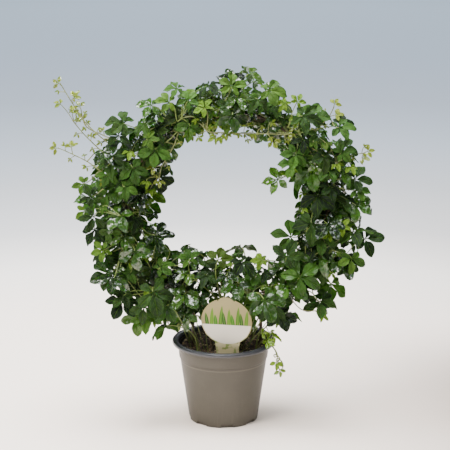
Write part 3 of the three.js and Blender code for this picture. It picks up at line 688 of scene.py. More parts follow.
wire_line = []
steps = 240
for i in range(steps + 1):
    s = (SOIL_S + LEG_IN_SOIL) * (2 * i / steps - 1)
    wire_line.append((hoop_at(s)[0], 1.0))
hoop = tube("wire_hoop", [wire_line], 2 * MM, 4)
smooth(hoop, 50)

wire_coat = Finish("wire_coat")
spot = wire_coat.place()
worn = wire_coat.noise(spot, 160, 4)
coat = wire_coat.blend(wire_coat.band(worn, 0.4, 0.65), "3A2C20", "58452F")
wire_coat.set(Base_Color=coat, Roughness=0.42 + worn * 0.2, Normal=wire_coat.bump(worn, 0.0002))
dress(hoop, wire_coat)
hand_in(hoop, "wire", "hoop")

# %% [markdown]
# ## The woody stems
# Two old stems climb each leg of the hoop and wind round it side by side. Their bark is brown and ridged,
# they swell a little at each node and get thinner and greener towards their ends. They are tubes along
# the same winding line as in the frame, with a thickness that changes from point to point. A row of the
# table holds a stem's node, its place in the soil, its side of the hoop, its angle round the wire where it
# joins it, and how far from the hoop's top it ends.

# %% Winding the stems
JOIN_S = SOIL_S - 92 * MM
PITCH = JOIN_S / 3.25
WINDING_RADIUS = 5 * MM
VINE_RADIUS = 1.5 * MM
STEMS = [
    ("vine_left_front", (-14, -13), -1, 135, 78),
    ("vine_left_back", (-15, 12), -1, 225, -34),
    ("vine_right_front", (24, -12), 1, 135, -66),
    ("vine_right_back", (22, 13), 1, 225, 40),
]


def away_from_hoop(s, angle):
    """The direction from the wire at s that is turned by an angle from outwards towards the front."""
    return math.cos(angle) * hoop_at(s)[1] + math.sin(angle) * FRONT


def winding_angle(side, angle, s):
    held = min(max(s, -JOIN_S), JOIN_S)
    return math.radians(angle) + 2 * math.pi * (held - side * JOIN_S) / PITCH


def smooth_share(value, low, high):
    share = min(max((value - low) / (high - low), 0), 1)
    return share * share * (3 - 2 * share)


def stem_at(soil_place, side, angle, s):
    wound = hoop_at(s)[0] + WINDING_RADIUS * away_from_hoop(s, winding_angle(side, angle, s))
    free = Vector((soil_place[0] * MM, soil_place[1] * MM, wound.z))
    return free.lerp(wound, 1 - smooth_share(abs(s), JOIN_S, SOIL_S - 8 * MM))


print("one turn round the wire takes", round(1000 * PITCH), "mm")

# %% [markdown]
# The bark is a noise of fine ridges with paler patches. A value at each point of a stem tells how near its
# tip it is, and turns the bark green there.

# %% Bark, and the stems as tubes
bark = Finish("bark")
spot = bark.place()
ridges = bark.noise(spot, 420, 5)
patches = bark.noise(spot, 60, 3)
green = bark.attribute("green")
woody = bark.blend(bark.band(ridges, 0.35, 0.68), "2F251A", "74604A")
woody = bark.blend(bark.band(patches, 0.55, 0.7) * 0.4, woody, "8A7A62")
woody = bark.blend(green, woody, "6E7D3F")
bark.set(Base_Color=woody, Roughness=0.75 + ridges * 0.15, Normal=bark.bump(ridges, 0.0007))

for name, soil_place, side, angle, to in STEMS:
    start, end = side * (SOIL_S + 13 * MM), to * MM
    line = []
    steps = int(abs(end - start) / 0.0022)
    for i in range(steps + 1):
        share = i / steps
        swell = 0.14 * max(0, math.sin(i * 0.53)) ** 8
        bark_wave = 0.04 * math.sin(i * 1.7 + angle)
        place = stem_at(soil_place, side, angle, start + (end - start) * share)
        line.append((place, 1.08 + swell + bark_wave - 0.3 * share))
    stem = tube("stem_" + name.split("_", 1)[1], [line], VINE_RADIUS, 2)
    tips = stem.data.attributes.new("green", "FLOAT", "POINT")
    far = hoop_at(end)[0]
    near_tip = [max(0, 1 - (p.co - far).length / 0.14) for p in stem.data.vertices]
    tips.data.foreach_set("value", [0.9 * share for share in near_tip])
    smooth(stem, 60)
    dress(stem, bark)
    hand_in(stem, "bark", name)

# %% [markdown]
# ## The plant label
# The label is a thin plastic disc with a small rise at its top, on a stake that narrows to a point. It is
# drawn flat as a chain of points, filled, pulled out to its thickness and rounded at its edges, and then
# leaned and turned into its place in the soil. A map of its own keeps the print in step with its outline.

# %% The label's outline
TAG_RADIUS, TAG_RISE, TAG_RISE_RADIUS = 29.5, 20.5, 11.0
TAG_LEAN, TAG_TURN = math.radians(10), math.radians(10)
TAG_FOOT = Vector((5, -38, 87)) * MM
TAG_MIDDLE = 45 / math.cos(TAG_LEAN)
TAG_THICKNESS = 0.8 * MM
NECK_HALF_WIDTH = 14.5
STAKE = [(-12.5, 0), (-4, -26), (4, -26), (12.5, 0)]
MAP_SIZE = 100
MAP_MIDDLE = (0.5, 0.3)


def arc(middle, radius, start, end, steps):
    turns = [start + (end - start) * i / steps for i in range(steps + 1)]
    return [(radius * math.cos(t), middle + radius * math.sin(t)) for t in turns]


neck, dip, bend = math.asin(NECK_HALF_WIDTH / TAG_RADIUS), 0.36, 0.5
outline = arc(TAG_MIDDLE, TAG_RADIUS, neck - math.pi / 2, math.pi / 2 - dip, 40)
outline += arc(TAG_MIDDLE + TAG_RISE, TAG_RISE_RADIUS, bend, math.pi - bend, 14)
outline += arc(TAG_MIDDLE, TAG_RADIUS, math.pi / 2 + dip, 3 * math.pi / 2 - neck, 40)
outline += STAKE
label = chain("plant_label", outline)
bpy.ops.mesh.select_all(action="SELECT")
bpy.ops.mesh.edge_face_add()
bpy.ops.transform.translate(value=(0, 0.5 * TAG_THICKNESS, 0))
bpy.ops.mesh.extrude_region_move(TRANSFORM_OT_translate={"value": (0, -TAG_THICKNESS, 0)})
bpy.ops.mesh.select_all(action="SELECT")
bpy.ops.mesh.normals_make_consistent(inside=False)
leave_edit()
apply(label, "BEVEL", width=0.15 * MM, segments=2, limit_method="ANGLE", angle_limit=math.radians(50))
print_map = label.data.uv_layers.new(name="print")
for loop in label.data.loops:
    at = label.data.vertices[loop.vertex_index].co / MM
    print_map.data[loop.index].uv = (at.x / MAP_SIZE + MAP_MIDDLE[0], at.z / MAP_SIZE + MAP_MIDDLE[1])
lean = Matrix.Rotation(-TAG_TURN, 4, "Z") @ Matrix.Rotation(TAG_LEAN, 4, "X")
label.data.transform(Matrix.Translation(TAG_FOOT) @ lean)
smooth(label, 30)
print("label:", len(outline), "points round it,", len(label.data.polygons), "faces")

# %% [markdown]
# The print is only a finish, in millimetres from the middle of the disc. The upper part is an olive field
# and the lower part a bare white panel. A row of plain grass blades stands on the panel's edge at equal
# steps. The stake below the panel is beige with green blotches. Each pair in GRASS is a blade's height and
# its tilt in degrees.

# %% The label's print
label_print = Finish("label_print")
chart = label_print.node("ShaderNodeUVMap", {"uv_map": "print"})
across = (label_print.part(chart, "X") - MAP_MIDDLE[0]) * MAP_SIZE
above = (label_print.part(chart, "Y") - MAP_MIDDLE[1]) * MAP_SIZE - TAG_MIDDLE
spot = label_print.place()
paper_grain = label_print.noise(spot, 900, 2)


def grass_shape(x, y, turn, half_length, half_width):
    """A share of 1 inside a pointed oval and 0 outside it, and the share of its rib."""
    turn = math.radians(turn)
    right, up = across - x, above - y
    along = right * (math.cos(turn) / half_length) + up * (math.sin(turn) / half_length)
    aside = up * (math.cos(turn) / half_width) - right * (math.sin(turn) / half_width)
    edge = abs(aside) * (1.25 - along * 0.45) + along * along
    rib = 1 - label_print.band(abs(aside), 0.02, 0.1)
    return label_print.band(edge, 1.04, 0.94), rib


PANEL_EDGE = -3.6
GRASS_STEP = 5
GRASS_HALF_WIDTH = 2.6
GRASS_GREENS = ("164800", "4A7406", "286400", "3A6404")
GRASS = [(15, 6), (22, -4), (13, 3), (25, -7), (17, 5), (21, -3), (14, 7), (24, -5), (16, 4), (20, -6)]

field = label_print.blend(label_print.band(above, -4, 26), "857A50", "8E835B")
for number, (height, tilt) in enumerate(GRASS):
    foot = GRASS_STEP * (number - (len(GRASS) - 1) / 2)
    shape, rib = grass_shape(foot, PANEL_EDGE, 90 + tilt, height, GRASS_HALF_WIDTH)
    green = label_print.blend(rib, GRASS_GREENS[number % len(GRASS_GREENS)], "6A8C28")
    field = label_print.blend(shape, field, green)
from_middle = across.math("SQRT", across * across + above * above)
panel = label_print.band(above, PANEL_EDGE, PANEL_EDGE - 0.4) * label_print.band(from_middle, 28.7, 28.3)
printed = label_print.blend(panel, field, "CCC6B8")
blotches = label_print.band(label_print.noise(spot, 140, 3), 0.5, 0.62)
stake = label_print.blend(blotches * 0.8, "B8AE86", "5E7A2A")
below = label_print.band(above, -14.0, -14.6) * (1 - panel)
printed = label_print.blend(below, printed, stake)
printed = label_print.blend(paper_grain * 0.08, printed, "8C8676")
label_print.set(
    Base_Color=printed,
    Roughness=0.5 + paper_grain * 0.12,
    Normal=label_print.bump(paper_grain, 0.00003),
    Specular_IOR_Level=0.2,
)
dress(label, label_print)
hand_in(label, "tag", "tag")

# %% [markdown]
# ## Reading the leaves of the frame
# The frame's leaves are five or three facetted leaflets round a hub. A finer leaf has to lie where its
# plain one does, and its place could be copied by hand from the drawing. It is surer to read it from the
# node: a hub is the one point that touches all of its leaf's outline, and each blade has two of them, one
# above the other, a blade's thickness apart.

# %% The points of a node
BLADE = 0.8 * MM
HUB_TOUCHES = 12
OUTLINE_POINTS = 8


def read_points(node):
    """The node's points, each once, and for each the points that it touches."""
    points, number, touching, names = [], {}, [], []
    for point in node.data.vertices:
        key = tuple(round(c * 1e6) for c in point.co)
        if key not in number:
            number[key] = len(points)
            points.append(point.co.copy())
            touching.append(set())
        names.append(number[key])
    for face in node.data.polygons:
        corners = {names[v] for v in face.vertices}
        for corner in corners:
            touching[corner] |= corners - {corner}
    return points, touching


def find_hubs(points, touching):
    """Each leaf's hub, the direction across its blade, and its outline on the blade's middle: each place
    with the places beside it."""
    hubs = []
    rich = [i for i in range(len(points)) if len(touching[i]) >= HUB_TOUCHES]
    for i, j in combinations(rich, 2):
        across = points[i] - points[j]
        if abs(across.length - BLADE) > 1e-5:
            continue
        below = [points[q] + across for q in touching[j]]
        ring = {p for p in touching[i] if any((points[p] - q).length < 2e-5 for q in below)}
        if len(ring) >= OUTLINE_POINTS:
            outline = []
            for p in ring:
                beside = [points[q] - across / 2 for q in touching[p] & ring]
                outline.append((points[p] - across / 2, beside))
            hubs.append(((points[i] + points[j]) / 2, across.normalized(), outline))
    return hubs


points, touching = read_points(nodes["spray_hoop_01"])
print("spray_hoop_01:", len(points), "points,", len(find_hubs(points, touching)), "leaves")

# %% [markdown]
# A leaf's outline tells the rest. The places that lie farther out than both of their neighbours are the
# tips of its leaflets. Two points close behind the hub show which way the leaf looks. Each tip gives its
# leaflet's heading, length and droop, and the shoulders beside it give its width and fold.

# %% From a hub to a leaf
HUB_BACK = 1.14 * MM
BLADE_RISE = 0.12
SHOULDER_AT = 0.62


def read_leaf(hub, normal, outline):
    """A leaf's place and directions, and each leaflet's heading, length, half width, droop and fold."""

    def reach(place):
        way = place - hub
        return (way - way.dot(normal) * normal).length

    longest = max(reach(place) for place, beside in outline)
    tips = []
    for place, beside in outline:
        if reach(place) > 0.45 * longest and beside and all(reach(q) < reach(place) for q in beside):
            tips.append((place - hub, [q - hub for q in beside]))
    if sum(way.dot(normal) for way, shoulders in tips) > 0:
        normal = -normal
    flat = [place - hub - (place - hub).dot(normal) * normal for place, beside in outline]
    back = [f for f in flat if abs(f.length - HUB_BACK) < 0.02 * MM]
    forward = sum(((way - way.dot(normal) * normal).normalized() for way, shoulders in tips), Vector())
    if len(back) == 2:
        forward = -(back[0] + back[1])
    forward.normalize()
    aside = normal.cross(forward)
    leaflets = []
    for way, shoulders in tips:
        level = way - way.dot(normal) * normal
        length, along = level.length, level.normalized()
        beside = normal.cross(along)
        droop = BLADE_RISE - way.dot(normal) / length
        half = sum(abs(w.dot(beside)) for w in shoulders) / len(shoulders)
        rise = sum(w.dot(normal) for w in shoulders) / len(shoulders)
        fold = (rise - length * (BLADE_RISE * SHOULDER_AT - droop * SHOULDER_AT**2)) / half
        heading = math.atan2(level.dot(aside), level.dot(forward))
        leaflets.append({"heading": heading, "length": length, "half": half, "droop": droop, "fold": fold})
    leaflets.sort(key=lambda part: -part["length"])
    apart = []
    for part in leaflets:
        if all(abs(part["heading"] - other["heading"]) > 0.5 for other in apart):
            apart.append(part)
    leaflets = sorted(apart, key=lambda part: part["heading"])
    return {"centre": hub, "normal": normal, "forward": forward, "leaflets": leaflets, "size": longest}


first = read_leaf(*find_hubs(points, touching)[0])
print("its first leaf:", len(first["leaflets"]), "leaflets, up to", round(1000 * first["size"], 1), "mm")

# %% [markdown]
# The leaf stalks and the green shoot need the line that the frame's shoot follows. Its sections are squares
# whose opposite corners lie one shoot's thickness apart. Their middles are found from such pairs, and put
# in order from the root to the tip.

# %% The line of a shoot
SHOOT_RADIUS = 1.2 * MM


def find_sections(points):
    """The middles of a shoot's square sections, of which at least three corners show."""
    found = []
    for a, b in combinations(points, 2):
        if abs((a - b).length - 2 * SHOOT_RADIUS) > 4e-6:
            continue
        middle = (a + b) / 2
        if any((middle - other).length < 5e-5 for other in found):
            continue
        if sum(abs((p - middle).length - SHOOT_RADIUS) < 4e-6 for p in points) >= 3:
            found.append(middle)
    return found


wire_points = [place for place, share in wire_line]


def from_wire(place):
    return min((place - p).length for p in wire_points)


def in_order(sections):
    """The sections from the one in the soil, or nearest the wire, onwards."""
    rooted = min(p.z for p in sections) < 0.08
    first = min(sections, key=(lambda p: p.z) if rooted else from_wire)
    line, rest = [first], [p for p in sections if p is not first]
    while rest:
        after = min(rest, key=lambda p: (p - line[-1]).length)
        line.append(after)
        rest.remove(after)
    return line


sprays = {}
for name in sorted(nodes):
    if name.startswith(("spray", "runner")):
        points, touching = read_points(nodes[name])
        leaves = [read_leaf(*hub) for hub in find_hubs(points, touching)]
        line = in_order(find_sections(points))
        sprays[name] = {"line": line, "leaves": leaves, "young": name.startswith("runner")}
print("sprays:", len(sprays), "leaves:", sum(len(spray["leaves"]) for spray in sprays.values()))
print("leaflets:", sorted(len(leaf["leaflets"]) for spray in sprays.values() for leaf in spray["leaves"]))
print("sections:", {name: len(spray["line"]) for name, spray in sprays.items()})

# %% [markdown]
# ## One leaflet
# A leaflet of this vine is a broad oval that narrows to its stalk, with two shallow teeth on each side
# and a point at its end. Its two halves fold up a little from the middle rib, and its edge waves. It is
# modelled once, one unit long, as a grid whose cross rows are widened, moved and lifted. A row of the lists
# below holds a place along the leaflet and its width there. Three round models are for large old leaves and
# two toothed ones for the others, and every leaflet on the plant is a copy of one of them.

# %% Modelling the leaflets
ROUND_ROWS = [
    (0.0, 0.05), (0.1, 0.07), (0.2, 0.3), (0.34, 0.7), (0.49, 0.96), (0.62, 1.03), (0.74, 0.96),
    (0.84, 0.78), (0.92, 0.54), (0.97, 0.3), (1.0, 0.08),
]
TOOTHED_ROWS = [
    (0.0, 0.05), (0.1, 0.07), (0.24, 0.45), (0.38, 0.84), (0.5, 1.0), (0.55, 0.91), (0.67, 0.93),
    (0.72, 0.78), (0.83, 0.67), (0.88, 0.45), (1.0, 0.04),
]


def model_leaflet(number, shape):
    pick = random.Random(60 + number)
    deselect()
    bpy.ops.mesh.primitive_grid_add(x_subdivisions=10, y_subdivisions=4, size=1, calc_uvs=True)
    leaflet = bpy.context.object
    leaflet.name = f"leaflet_{number}"
    rows = sorted({round(v.co.x, 4) for v in leaflet.data.vertices})
    bpy.ops.object.mode_set(mode="EDIT")
    wave = pick.uniform(0, 6)
    for start, (place, width) in zip(rows, shape):
        choose(leaflet, lambda p: abs(p.x - start) < 1e-3 and abs(p.z) < 1e-6)
        width = width * pick.uniform(0.95, 1.05)
        bpy.ops.transform.resize(value=(1, 2 * width, 1))
        bpy.ops.transform.translate(value=(place - start, 0, 0.0001))
    for place, width in shape[1:-1]:
        for side in (-1, 1):
            choose(leaflet, lambda p: abs(p.x - place) < 1e-3 and p.y * side > 0.3 * width)
            bpy.ops.transform.translate(value=(0, 0, 0.055 * math.sin(11 * place + wave + side)))
    leave_edit()
    return leaflet


shapes = [ROUND_ROWS] * 3 + [TOOTHED_ROWS] * 2
leaflet_models = [model_leaflet(number, shape) for number, shape in enumerate(shapes)]
round_models, toothed_models = leaflet_models[:3], leaflet_models[3:]
for model in leaflet_models:
    ends = [min(v.co.x for v in model.data.vertices), max(v.co.x for v in model.data.vertices)]
    print(model.name, "faces:", len(model.data.polygons), "ends:", [round(e, 3) for e in ends])

# %% [markdown]
# ## Laying a leaf
# Each leaflet model is laid along its heading from the hub, stretched to its length and width, arched and
# folded as its plain one is, and turned a little about its rib so that the light catches each one in its
# own way. Four numbers go with every leaf as attributes: its age, from dark and old to lime and young, a
# tone of its own, its gloss, and how olive it is.

# %% Laying leaflets round a hub
def leaf_axes(leaf):
    """The matrix that turns a leaf's own directions into the plant's."""
    across = leaf["normal"].cross(leaf["forward"])
    return Matrix((leaf["forward"], across, leaf["normal"])).transposed()


def lay_leaf(leaf, pick):
    """The leaf's blades, each a copy of a model that is bent to its place."""
    turned = leaf_axes(leaf)
    blades = []
    rounded = leaf["age"] < 0.6 and (leaf["size"] > 23 * MM or pick.random() < 0.5)
    kinds = round_models if rounded else toothed_models
    tone = leaf.get("tone", pick.uniform(0.0, 0.95))
    gloss = leaf.get("gloss", pick.random())
    for part in leaf["leaflets"]:
        blade = copy_of(pick.choice(kinds), "blade")
        about = Matrix.Rotation(part["heading"], 3, "Z")
        twist = pick.uniform(-0.55, 0.55)
        curl = pick.uniform(-0.04, 0.14)
        length = part["length"]
        half = part["half"] * pick.uniform(0.8, 0.95)
        fold = part["fold"] * 1.3 + pick.uniform(0.1, 0.45)
        for v in blade.data.vertices:
            x, y, z = v.co
            rise = length * (BLADE_RISE * x - part["droop"] * x * x - curl * x**3)
            aside = half * y
            lift = fold * half * (1.5 * abs(y) - 0.5 * y * y) * (1 - 0.5 * x) + length * z
            turn = twist * x
            y_laid = aside * math.cos(turn) - lift * math.sin(turn)
            z_laid = aside * math.sin(turn) + lift * math.cos(turn)
            v.co = leaf["centre"] + turned @ (about @ Vector((length * x, y_laid, rise + z_laid)))
        age = min(1, max(0, leaf["age"] + pick.uniform(-0.08, 0.08)))
        mark(blade, age=age, tone=tone + pick.uniform(-0.15, 0.15), gloss=gloss, olive=leaf["olive"])
        blades.append(blade)
    return blades


def petiole_line(leaf):
    """A leaf stalk leaves its shoot, and comes up to the hub from behind and below."""
    root = leaf["root"]
    reach = (leaf["centre"] - root).length
    out = root.lerp(leaf["centre"], 0.3) + Vector((0, 0, 0.06 * reach))
    behind = leaf["centre"] - leaf["forward"] * 0.34 * reach - leaf["normal"] * 0.1 * reach
    line = []
    for i in range(10):
        t = i / 9
        u = 1 - t
        place = u**3 * root + 3 * u * u * t * out + 3 * u * t * t * behind + t**3 * leaf["centre"]
        line.append((place, 1.15 - 0.35 * t))
    return line


print("points in a leaf of five:", 5 * len(round_models[0].data.vertices))

# %% [markdown]
# The frame holds only as many leaves as plain solids can carry. On the real plant younger and smaller
# leaves fill the places between them, so the shoots get more. Each new leaf is tried at several places,
# is refused where it would cut through another leaf, the pot or the label, and takes the loneliest of the
# places that are clear. Testing the finished leaves against each other would take long, so each leaf is
# noted as a net of a few triangles.

# %% Leaves as nets
LEAFLET_OUTLINE = ((0.35, -0.7), (0.7, -1), (1, 0), (0.7, 1), (0.35, 0.7))


def leaf_net(leaf):
    """A leaf as a few triangles, to test whether it cuts through others."""
    turned = leaf_axes(leaf)
    corners, faces = [leaf["centre"]], []
    for part in leaf["leaflets"]:
        about = Matrix.Rotation(part["heading"], 3, "Z")
        length, half = part["length"], part["half"]
        for x, y in LEAFLET_OUTLINE:
            rise = length * (BLADE_RISE * x - part["droop"] * x * x) + part["fold"] * half * abs(y)
            corners.append(leaf["centre"] + turned @ (about @ Vector((length * x, half * y, rise))))
        last = len(corners) - 1
        faces += [(0, last - 4 + k, last - 3 + k) for k in range(4)]
    return corners, faces


def node_net(name):
    mesh = nodes[name].data
    return BVHTree.FromPolygons([v.co for v in mesh.vertices], [tuple(f.vertices) for f in mesh.polygons])


fixed = [node_net(name) for name in ("pot", "tag", "soil", "hoop")]
grown = []


def note_leaf(leaf):
    corners, faces = leaf_net(leaf)
    grown.append((leaf["centre"], leaf["size"], BVHTree.FromPolygons(corners, faces)))


print("pieces that no leaf may cut:", len(fixed))

# %% [markdown]
# Some places stay bare, as in the photograph: the open middle of the ring, the air in front of the label,
# and the lower right. No leaf reaches out of the frame's box or down to the soil.

# %% Where there is room
BOX_MARGIN = 0.002
LOWEST_SMALL, LOWEST_LARGE = 0.094, 0.112
low_corner, high_corner = (Vector(corner) for corner in cad_bounds)


def stays_bare(place, lowest):
    """Whether no leaf may reach a place."""
    if any(not low_corner[i] + BOX_MARGIN < place[i] < high_corner[i] - BOX_MARGIN for i in range(3)):
        return True
    in_ring = -0.043 < place.x < 0.047 and 0.21 < place.z < 0.324
    lower_right = place.z < 0.165 and place.x > 0.066 + 0.75 * (place.z - 0.104)
    before_label = place.z < 0.17 and place.y < -0.036 and -0.034 < place.x < 0.039
    return place.z < lowest or in_ring or lower_right or before_label


def has_room(leaf):
    """Whether a leaf leaves the bare places alone and cuts through nothing."""
    corners, faces = leaf_net(leaf)
    lowest = LOWEST_SMALL if leaf["size"] < 11 * MM else LOWEST_LARGE
    if any(stays_bare(corner, lowest) for corner in corners):
        return False
    net = BVHTree.FromPolygons(corners, faces)
    if any(net.overlap(other) for other in fixed):
        return False
    for centre, size, other in grown:
        if (centre - leaf["centre"]).length < size + leaf["size"] and net.overlap(other):
            return False
    return True


def loneliness(place):
    """How far the next leaf is, seen from the front. Depth counts half."""
    return min(math.hypot(c.x - place.x, c.z - place.z, (c.y - place.y) / 2) for c, size, net in grown)


print("is the middle of the ring kept bare?", stays_bare(HOOP_CENTRE, LOWEST_LARGE))

# %% [markdown]
# A new leaf is written down in the same words as one that was read from the frame. It has five leaflets,
# the middle one longest, or three where it is small and young, and each of them differs a little.

# %% A new leaf
def new_leaf(centre, normal, forward, size, age, pick, count=5, olive=0.0):
    """A leaf of five or three leaflets, each with its own length, width, droop and fold."""
    normal = normal.normalized()
    forward = (forward - forward.dot(normal) * normal).normalized()
    headings = (-128, -65, 0, 65, 128) if count == 5 else (-62, 0, 62)
    lengths = (0.68, 0.92, 1, 0.92, 0.68) if count == 5 else (0.8, 1, 0.8)
    leaflets = []
    for heading, length in zip(headings, lengths):
        length = length * size * pick.uniform(0.9, 1.08)
        wide = pick.uniform(0.27, 0.33) - 0.12 * max(0, age - 0.5)
        bent = {"droop": pick.uniform(0.15, 0.6), "fold": pick.uniform(0.1, 0.3) + 0.3 * max(0, age - 0.4)}
        turn = math.radians(heading + pick.uniform(-8, 8))
        leaflets.append({"heading": turn, "length": length, "half": wide * length, **bent})
    placed = {"centre": centre, "normal": normal, "forward": forward, "size": size}
    return {**placed, "leaflets": leaflets, "age": age, "olive": olive}


sample = new_leaf(Vector((0, 0, 0.3)), UP, FRONT, 20 * MM, 0.1, random.Random(1))
print("a new leaf's leaflets:", [round(1000 * part["length"], 1) for part in sample["leaflets"]], "mm")

# %% [markdown]
# The leaves read from the frame come first. Most are old and dark, those near the top of the hoop are a
# little younger, and one in ten is younger still. The runners' leaves are lime, and olive at the top. The
# inner points of each shoot's line and a place near its tip become seats, from which stalks may grow.

# %% The ages of the frame's leaves
def fullness(s):
    return smooth_share(abs(s), 40 * MM, 130 * MM)


def hoop_distance(place):
    """How far along the hoop from its top a place lies, to the right where positive."""
    way = place - HOOP_CENTRE
    return HOOP_RADIUS * math.atan2(way.x, way.z)


def old_age(place, pick):
    top = 1 - fullness(hoop_distance(place))
    age = pick.uniform(0.0, 0.2) + top * pick.uniform(0.0, 0.15)
    if pick.random() < 0.1:
        age += pick.uniform(0.1, 0.28)
    return age


PALE_LEAF = Vector((62, -10, 297)) * MM
pick = random.Random(7)
for name, spray in sprays.items():
    line = spray["line"]
    last = [line[-2].lerp(line[-1], 0.85)] if len(line) > 1 else []
    spray["seats"] = line[1:-1] + last
    for leaf in spray["leaves"]:
        leaf["age"] = 0.9 if spray["young"] else old_age(leaf["centre"], pick)
        if (leaf["centre"] - PALE_LEAF).length < 25 * MM:
            leaf["age"], leaf["tone"] = 0.35, 0.9
        leaf["olive"] = 0.75 if spray["young"] and leaf["centre"].z > 0.28 else 0.0
        leaf["root"] = min(spray["seats"], key=lambda seat: (seat - leaf["centre"]).length)
        note_leaf(leaf)
seats = [(seat, name) for name, spray in sprays.items() for seat in spray["seats"]]
print("seats for leaf stalks:", len(seats))

# %% [markdown]
# Each kind of new leaf has a function that draws where it lies, which way it looks and how large and old it
# is. The first four kinds fill the ring and the crown over the pot. Away from the top of the hoop the ring
# is full, and its leaves lie farther out and are larger. Near the top they lie close to the wire.

# %% Leaves of the ring and the crown
LEAFY_REACH = 0.302


def scatter(pick):
    return Vector((pick.random() - 0.5, pick.random() - 0.5, pick.random() - 0.5))


def leaf_in_ring(pick, small=False):
    """A leaf in the thick of the ring."""
    s = pick.uniform(-LEAFY_REACH, LEAFY_REACH)
    angle = pick.uniform(0, 2 * math.pi)
    full = fullness(s)
    out, inward, depth = ((a + (b - a) * full) * MM for a, b in ((20, 42), (10, 27), (17, 29)))
    side = out if math.cos(angle) > 0 else inward
    reach = side * math.cos(angle) ** 2 + depth * math.sin(angle) ** 2
    away = away_from_hoop(s, angle)
    share = pick.uniform(0.8, 1.1) if small else pick.uniform(0.35, 1.0)
    centre = hoop_at(s)[0] + away * reach * share
    face = 0.85 if math.sin(angle) > -0.35 else -0.85
    normal = 0.5 * away + 0.95 * UP + 0.7 * face * FRONT + 1.3 * scatter(pick)
    forward = 0.5 * away - (0.1 + 0.8 * full) * UP
    forward = forward + 1.6 * (pick.random() - 0.5) * hoop_at(s)[2] + 0.3 * FRONT
    size = pick.uniform(8, 13) if small else pick.uniform(15, 21) + 4 * full * pick.random()
    age = pick.uniform(0.25, 0.75) if small else old_age(centre, pick) + pick.uniform(0, 0.08)
    return new_leaf(centre, normal, forward, size * MM, age, pick, 3 if small else 5)


def leaf_near_wire(pick):
    """A small dark leaf between the wire and the outer leaves."""
    s = pick.uniform(-LEAFY_REACH, LEAFY_REACH)
    angle = pick.uniform(0, 2 * math.pi)
    reach = (9 + 9 * fullness(s)) * pick.uniform(0.6, 1.2)
    away = away_from_hoop(s, angle)
    centre = hoop_at(s)[0] + away * reach * MM
    normal = away + 0.5 * UP + FRONT * (0.6 if math.sin(angle) > -0.3 else -0.6) + scatter(pick)
    forward = hoop_at(s)[2] * pick.choice((-1, 1)) - 0.5 * UP + scatter(pick)
    return new_leaf(centre, normal, forward, pick.uniform(10, 16) * MM, pick.uniform(0, 0.3), pick)


def leaf_behind_hoop(pick):
    """A dark leaf behind the hoop, which closes gaps between the others."""
    s = pick.uniform(-LEAFY_REACH, LEAFY_REACH)
    point, outward, along = hoop_at(s)
    off = pick.uniform(-8, 10) + fullness(s) * pick.uniform(-12, 22)
    centre = point + off * MM * outward - pick.uniform(14, 32) * MM * FRONT
    normal = FRONT * pick.choice((1, 1, -1)) + 0.4 * UP + 0.5 * scatter(pick)
    forward = along * pick.choice((-1, 1)) - 0.4 * UP + scatter(pick)
    return new_leaf(centre, normal, forward, pick.uniform(15, 21) * MM, pick.uniform(0, 0.15), pick)


def leaf_over_pot(pick, small=False):
    """A leaf over the pot, between the soil and the ring."""
    turn = pick.uniform(0, 2 * math.pi)
    way = 66 * math.sqrt(pick.random())
    centre = Vector((way * math.cos(turn), 0.75 * way * math.sin(turn), pick.uniform(112, 196))) * MM
    around = Vector((math.cos(turn), math.sin(turn), 0))
    normal = UP + 0.5 * around + (0.4 if around.y < 0.5 else -0.3) * FRONT + 1.1 * scatter(pick)
    forward = around - 0.4 * UP + 0.8 * scatter(pick)
    size = pick.uniform(8, 13) if small else pick.uniform(16, 25)
    age = pick.uniform(0.5, 0.9) if small else old_age(centre, pick)
    return new_leaf(centre, normal, forward, size * MM, age, pick, 3 if small else 5)


print("the ring is leafy over", round(2000 * LEAFY_REACH), "mm of the hoop")

# %% [markdown]
# Four more kinds have their places in the photograph: the mound above the hoop, the small pale leaves that
# hang under it, the leaves low over the pot, and the lime ones at the rim. They could come from the same
# rule with other numbers, but each hangs or leans in its own way.

# %% Leaves above the hoop, under it and over the pot
def leaf_in_mound(pick):
    """A leaf in the mound above the top of the hoop."""
    x, y = pick.uniform(-32, 62), pick.uniform(-24, 22)
    centre = Vector((x, y, pick.uniform(374, 411 - 0.36 * abs(x - 8)))) * MM
    around = Vector((x / 40 + pick.uniform(-0.8, 0.8), y / 25 + pick.uniform(-0.8, 0.4), 0))
    normal = UP + 0.6 * around + 0.5 * FRONT + 0.8 * scatter(pick)
    forward = around - 0.25 * UP + 0.4 * scatter(pick)
    return new_leaf(centre, normal, forward, pick.uniform(15, 21) * MM, pick.uniform(0.05, 0.35), pick)


def leaf_under_top(pick):
    """A small pale leaf that hangs under the top of the hoop."""
    centre = Vector((pick.uniform(-44, 58), pick.uniform(-20, 10), pick.uniform(342, 363))) * MM
    normal = FRONT + 0.4 * UP + scatter(pick)
    forward = 1.2 * scatter(pick) - 0.7 * UP
    age, olive = pick.uniform(0.6, 1), pick.uniform(0.2, 0.6)
    return new_leaf(centre, normal, forward, pick.uniform(6, 10) * MM, age, pick, 3, olive)


def leaf_at_rim(pick):
    """A lime leaf that leans over the pot's rim at the right."""
    centre = Vector((pick.uniform(44, 58), pick.uniform(-46, -32), pick.uniform(102, 116))) * MM
    normal = 0.8 * FRONT + 0.7 * UP + 0.8 * scatter(pick)
    forward = Vector((1, -0.4, -0.5)) + scatter(pick)
    return new_leaf(centre, normal, forward, pick.uniform(8, 11) * MM, pick.uniform(0.6, 0.9), pick, 3)


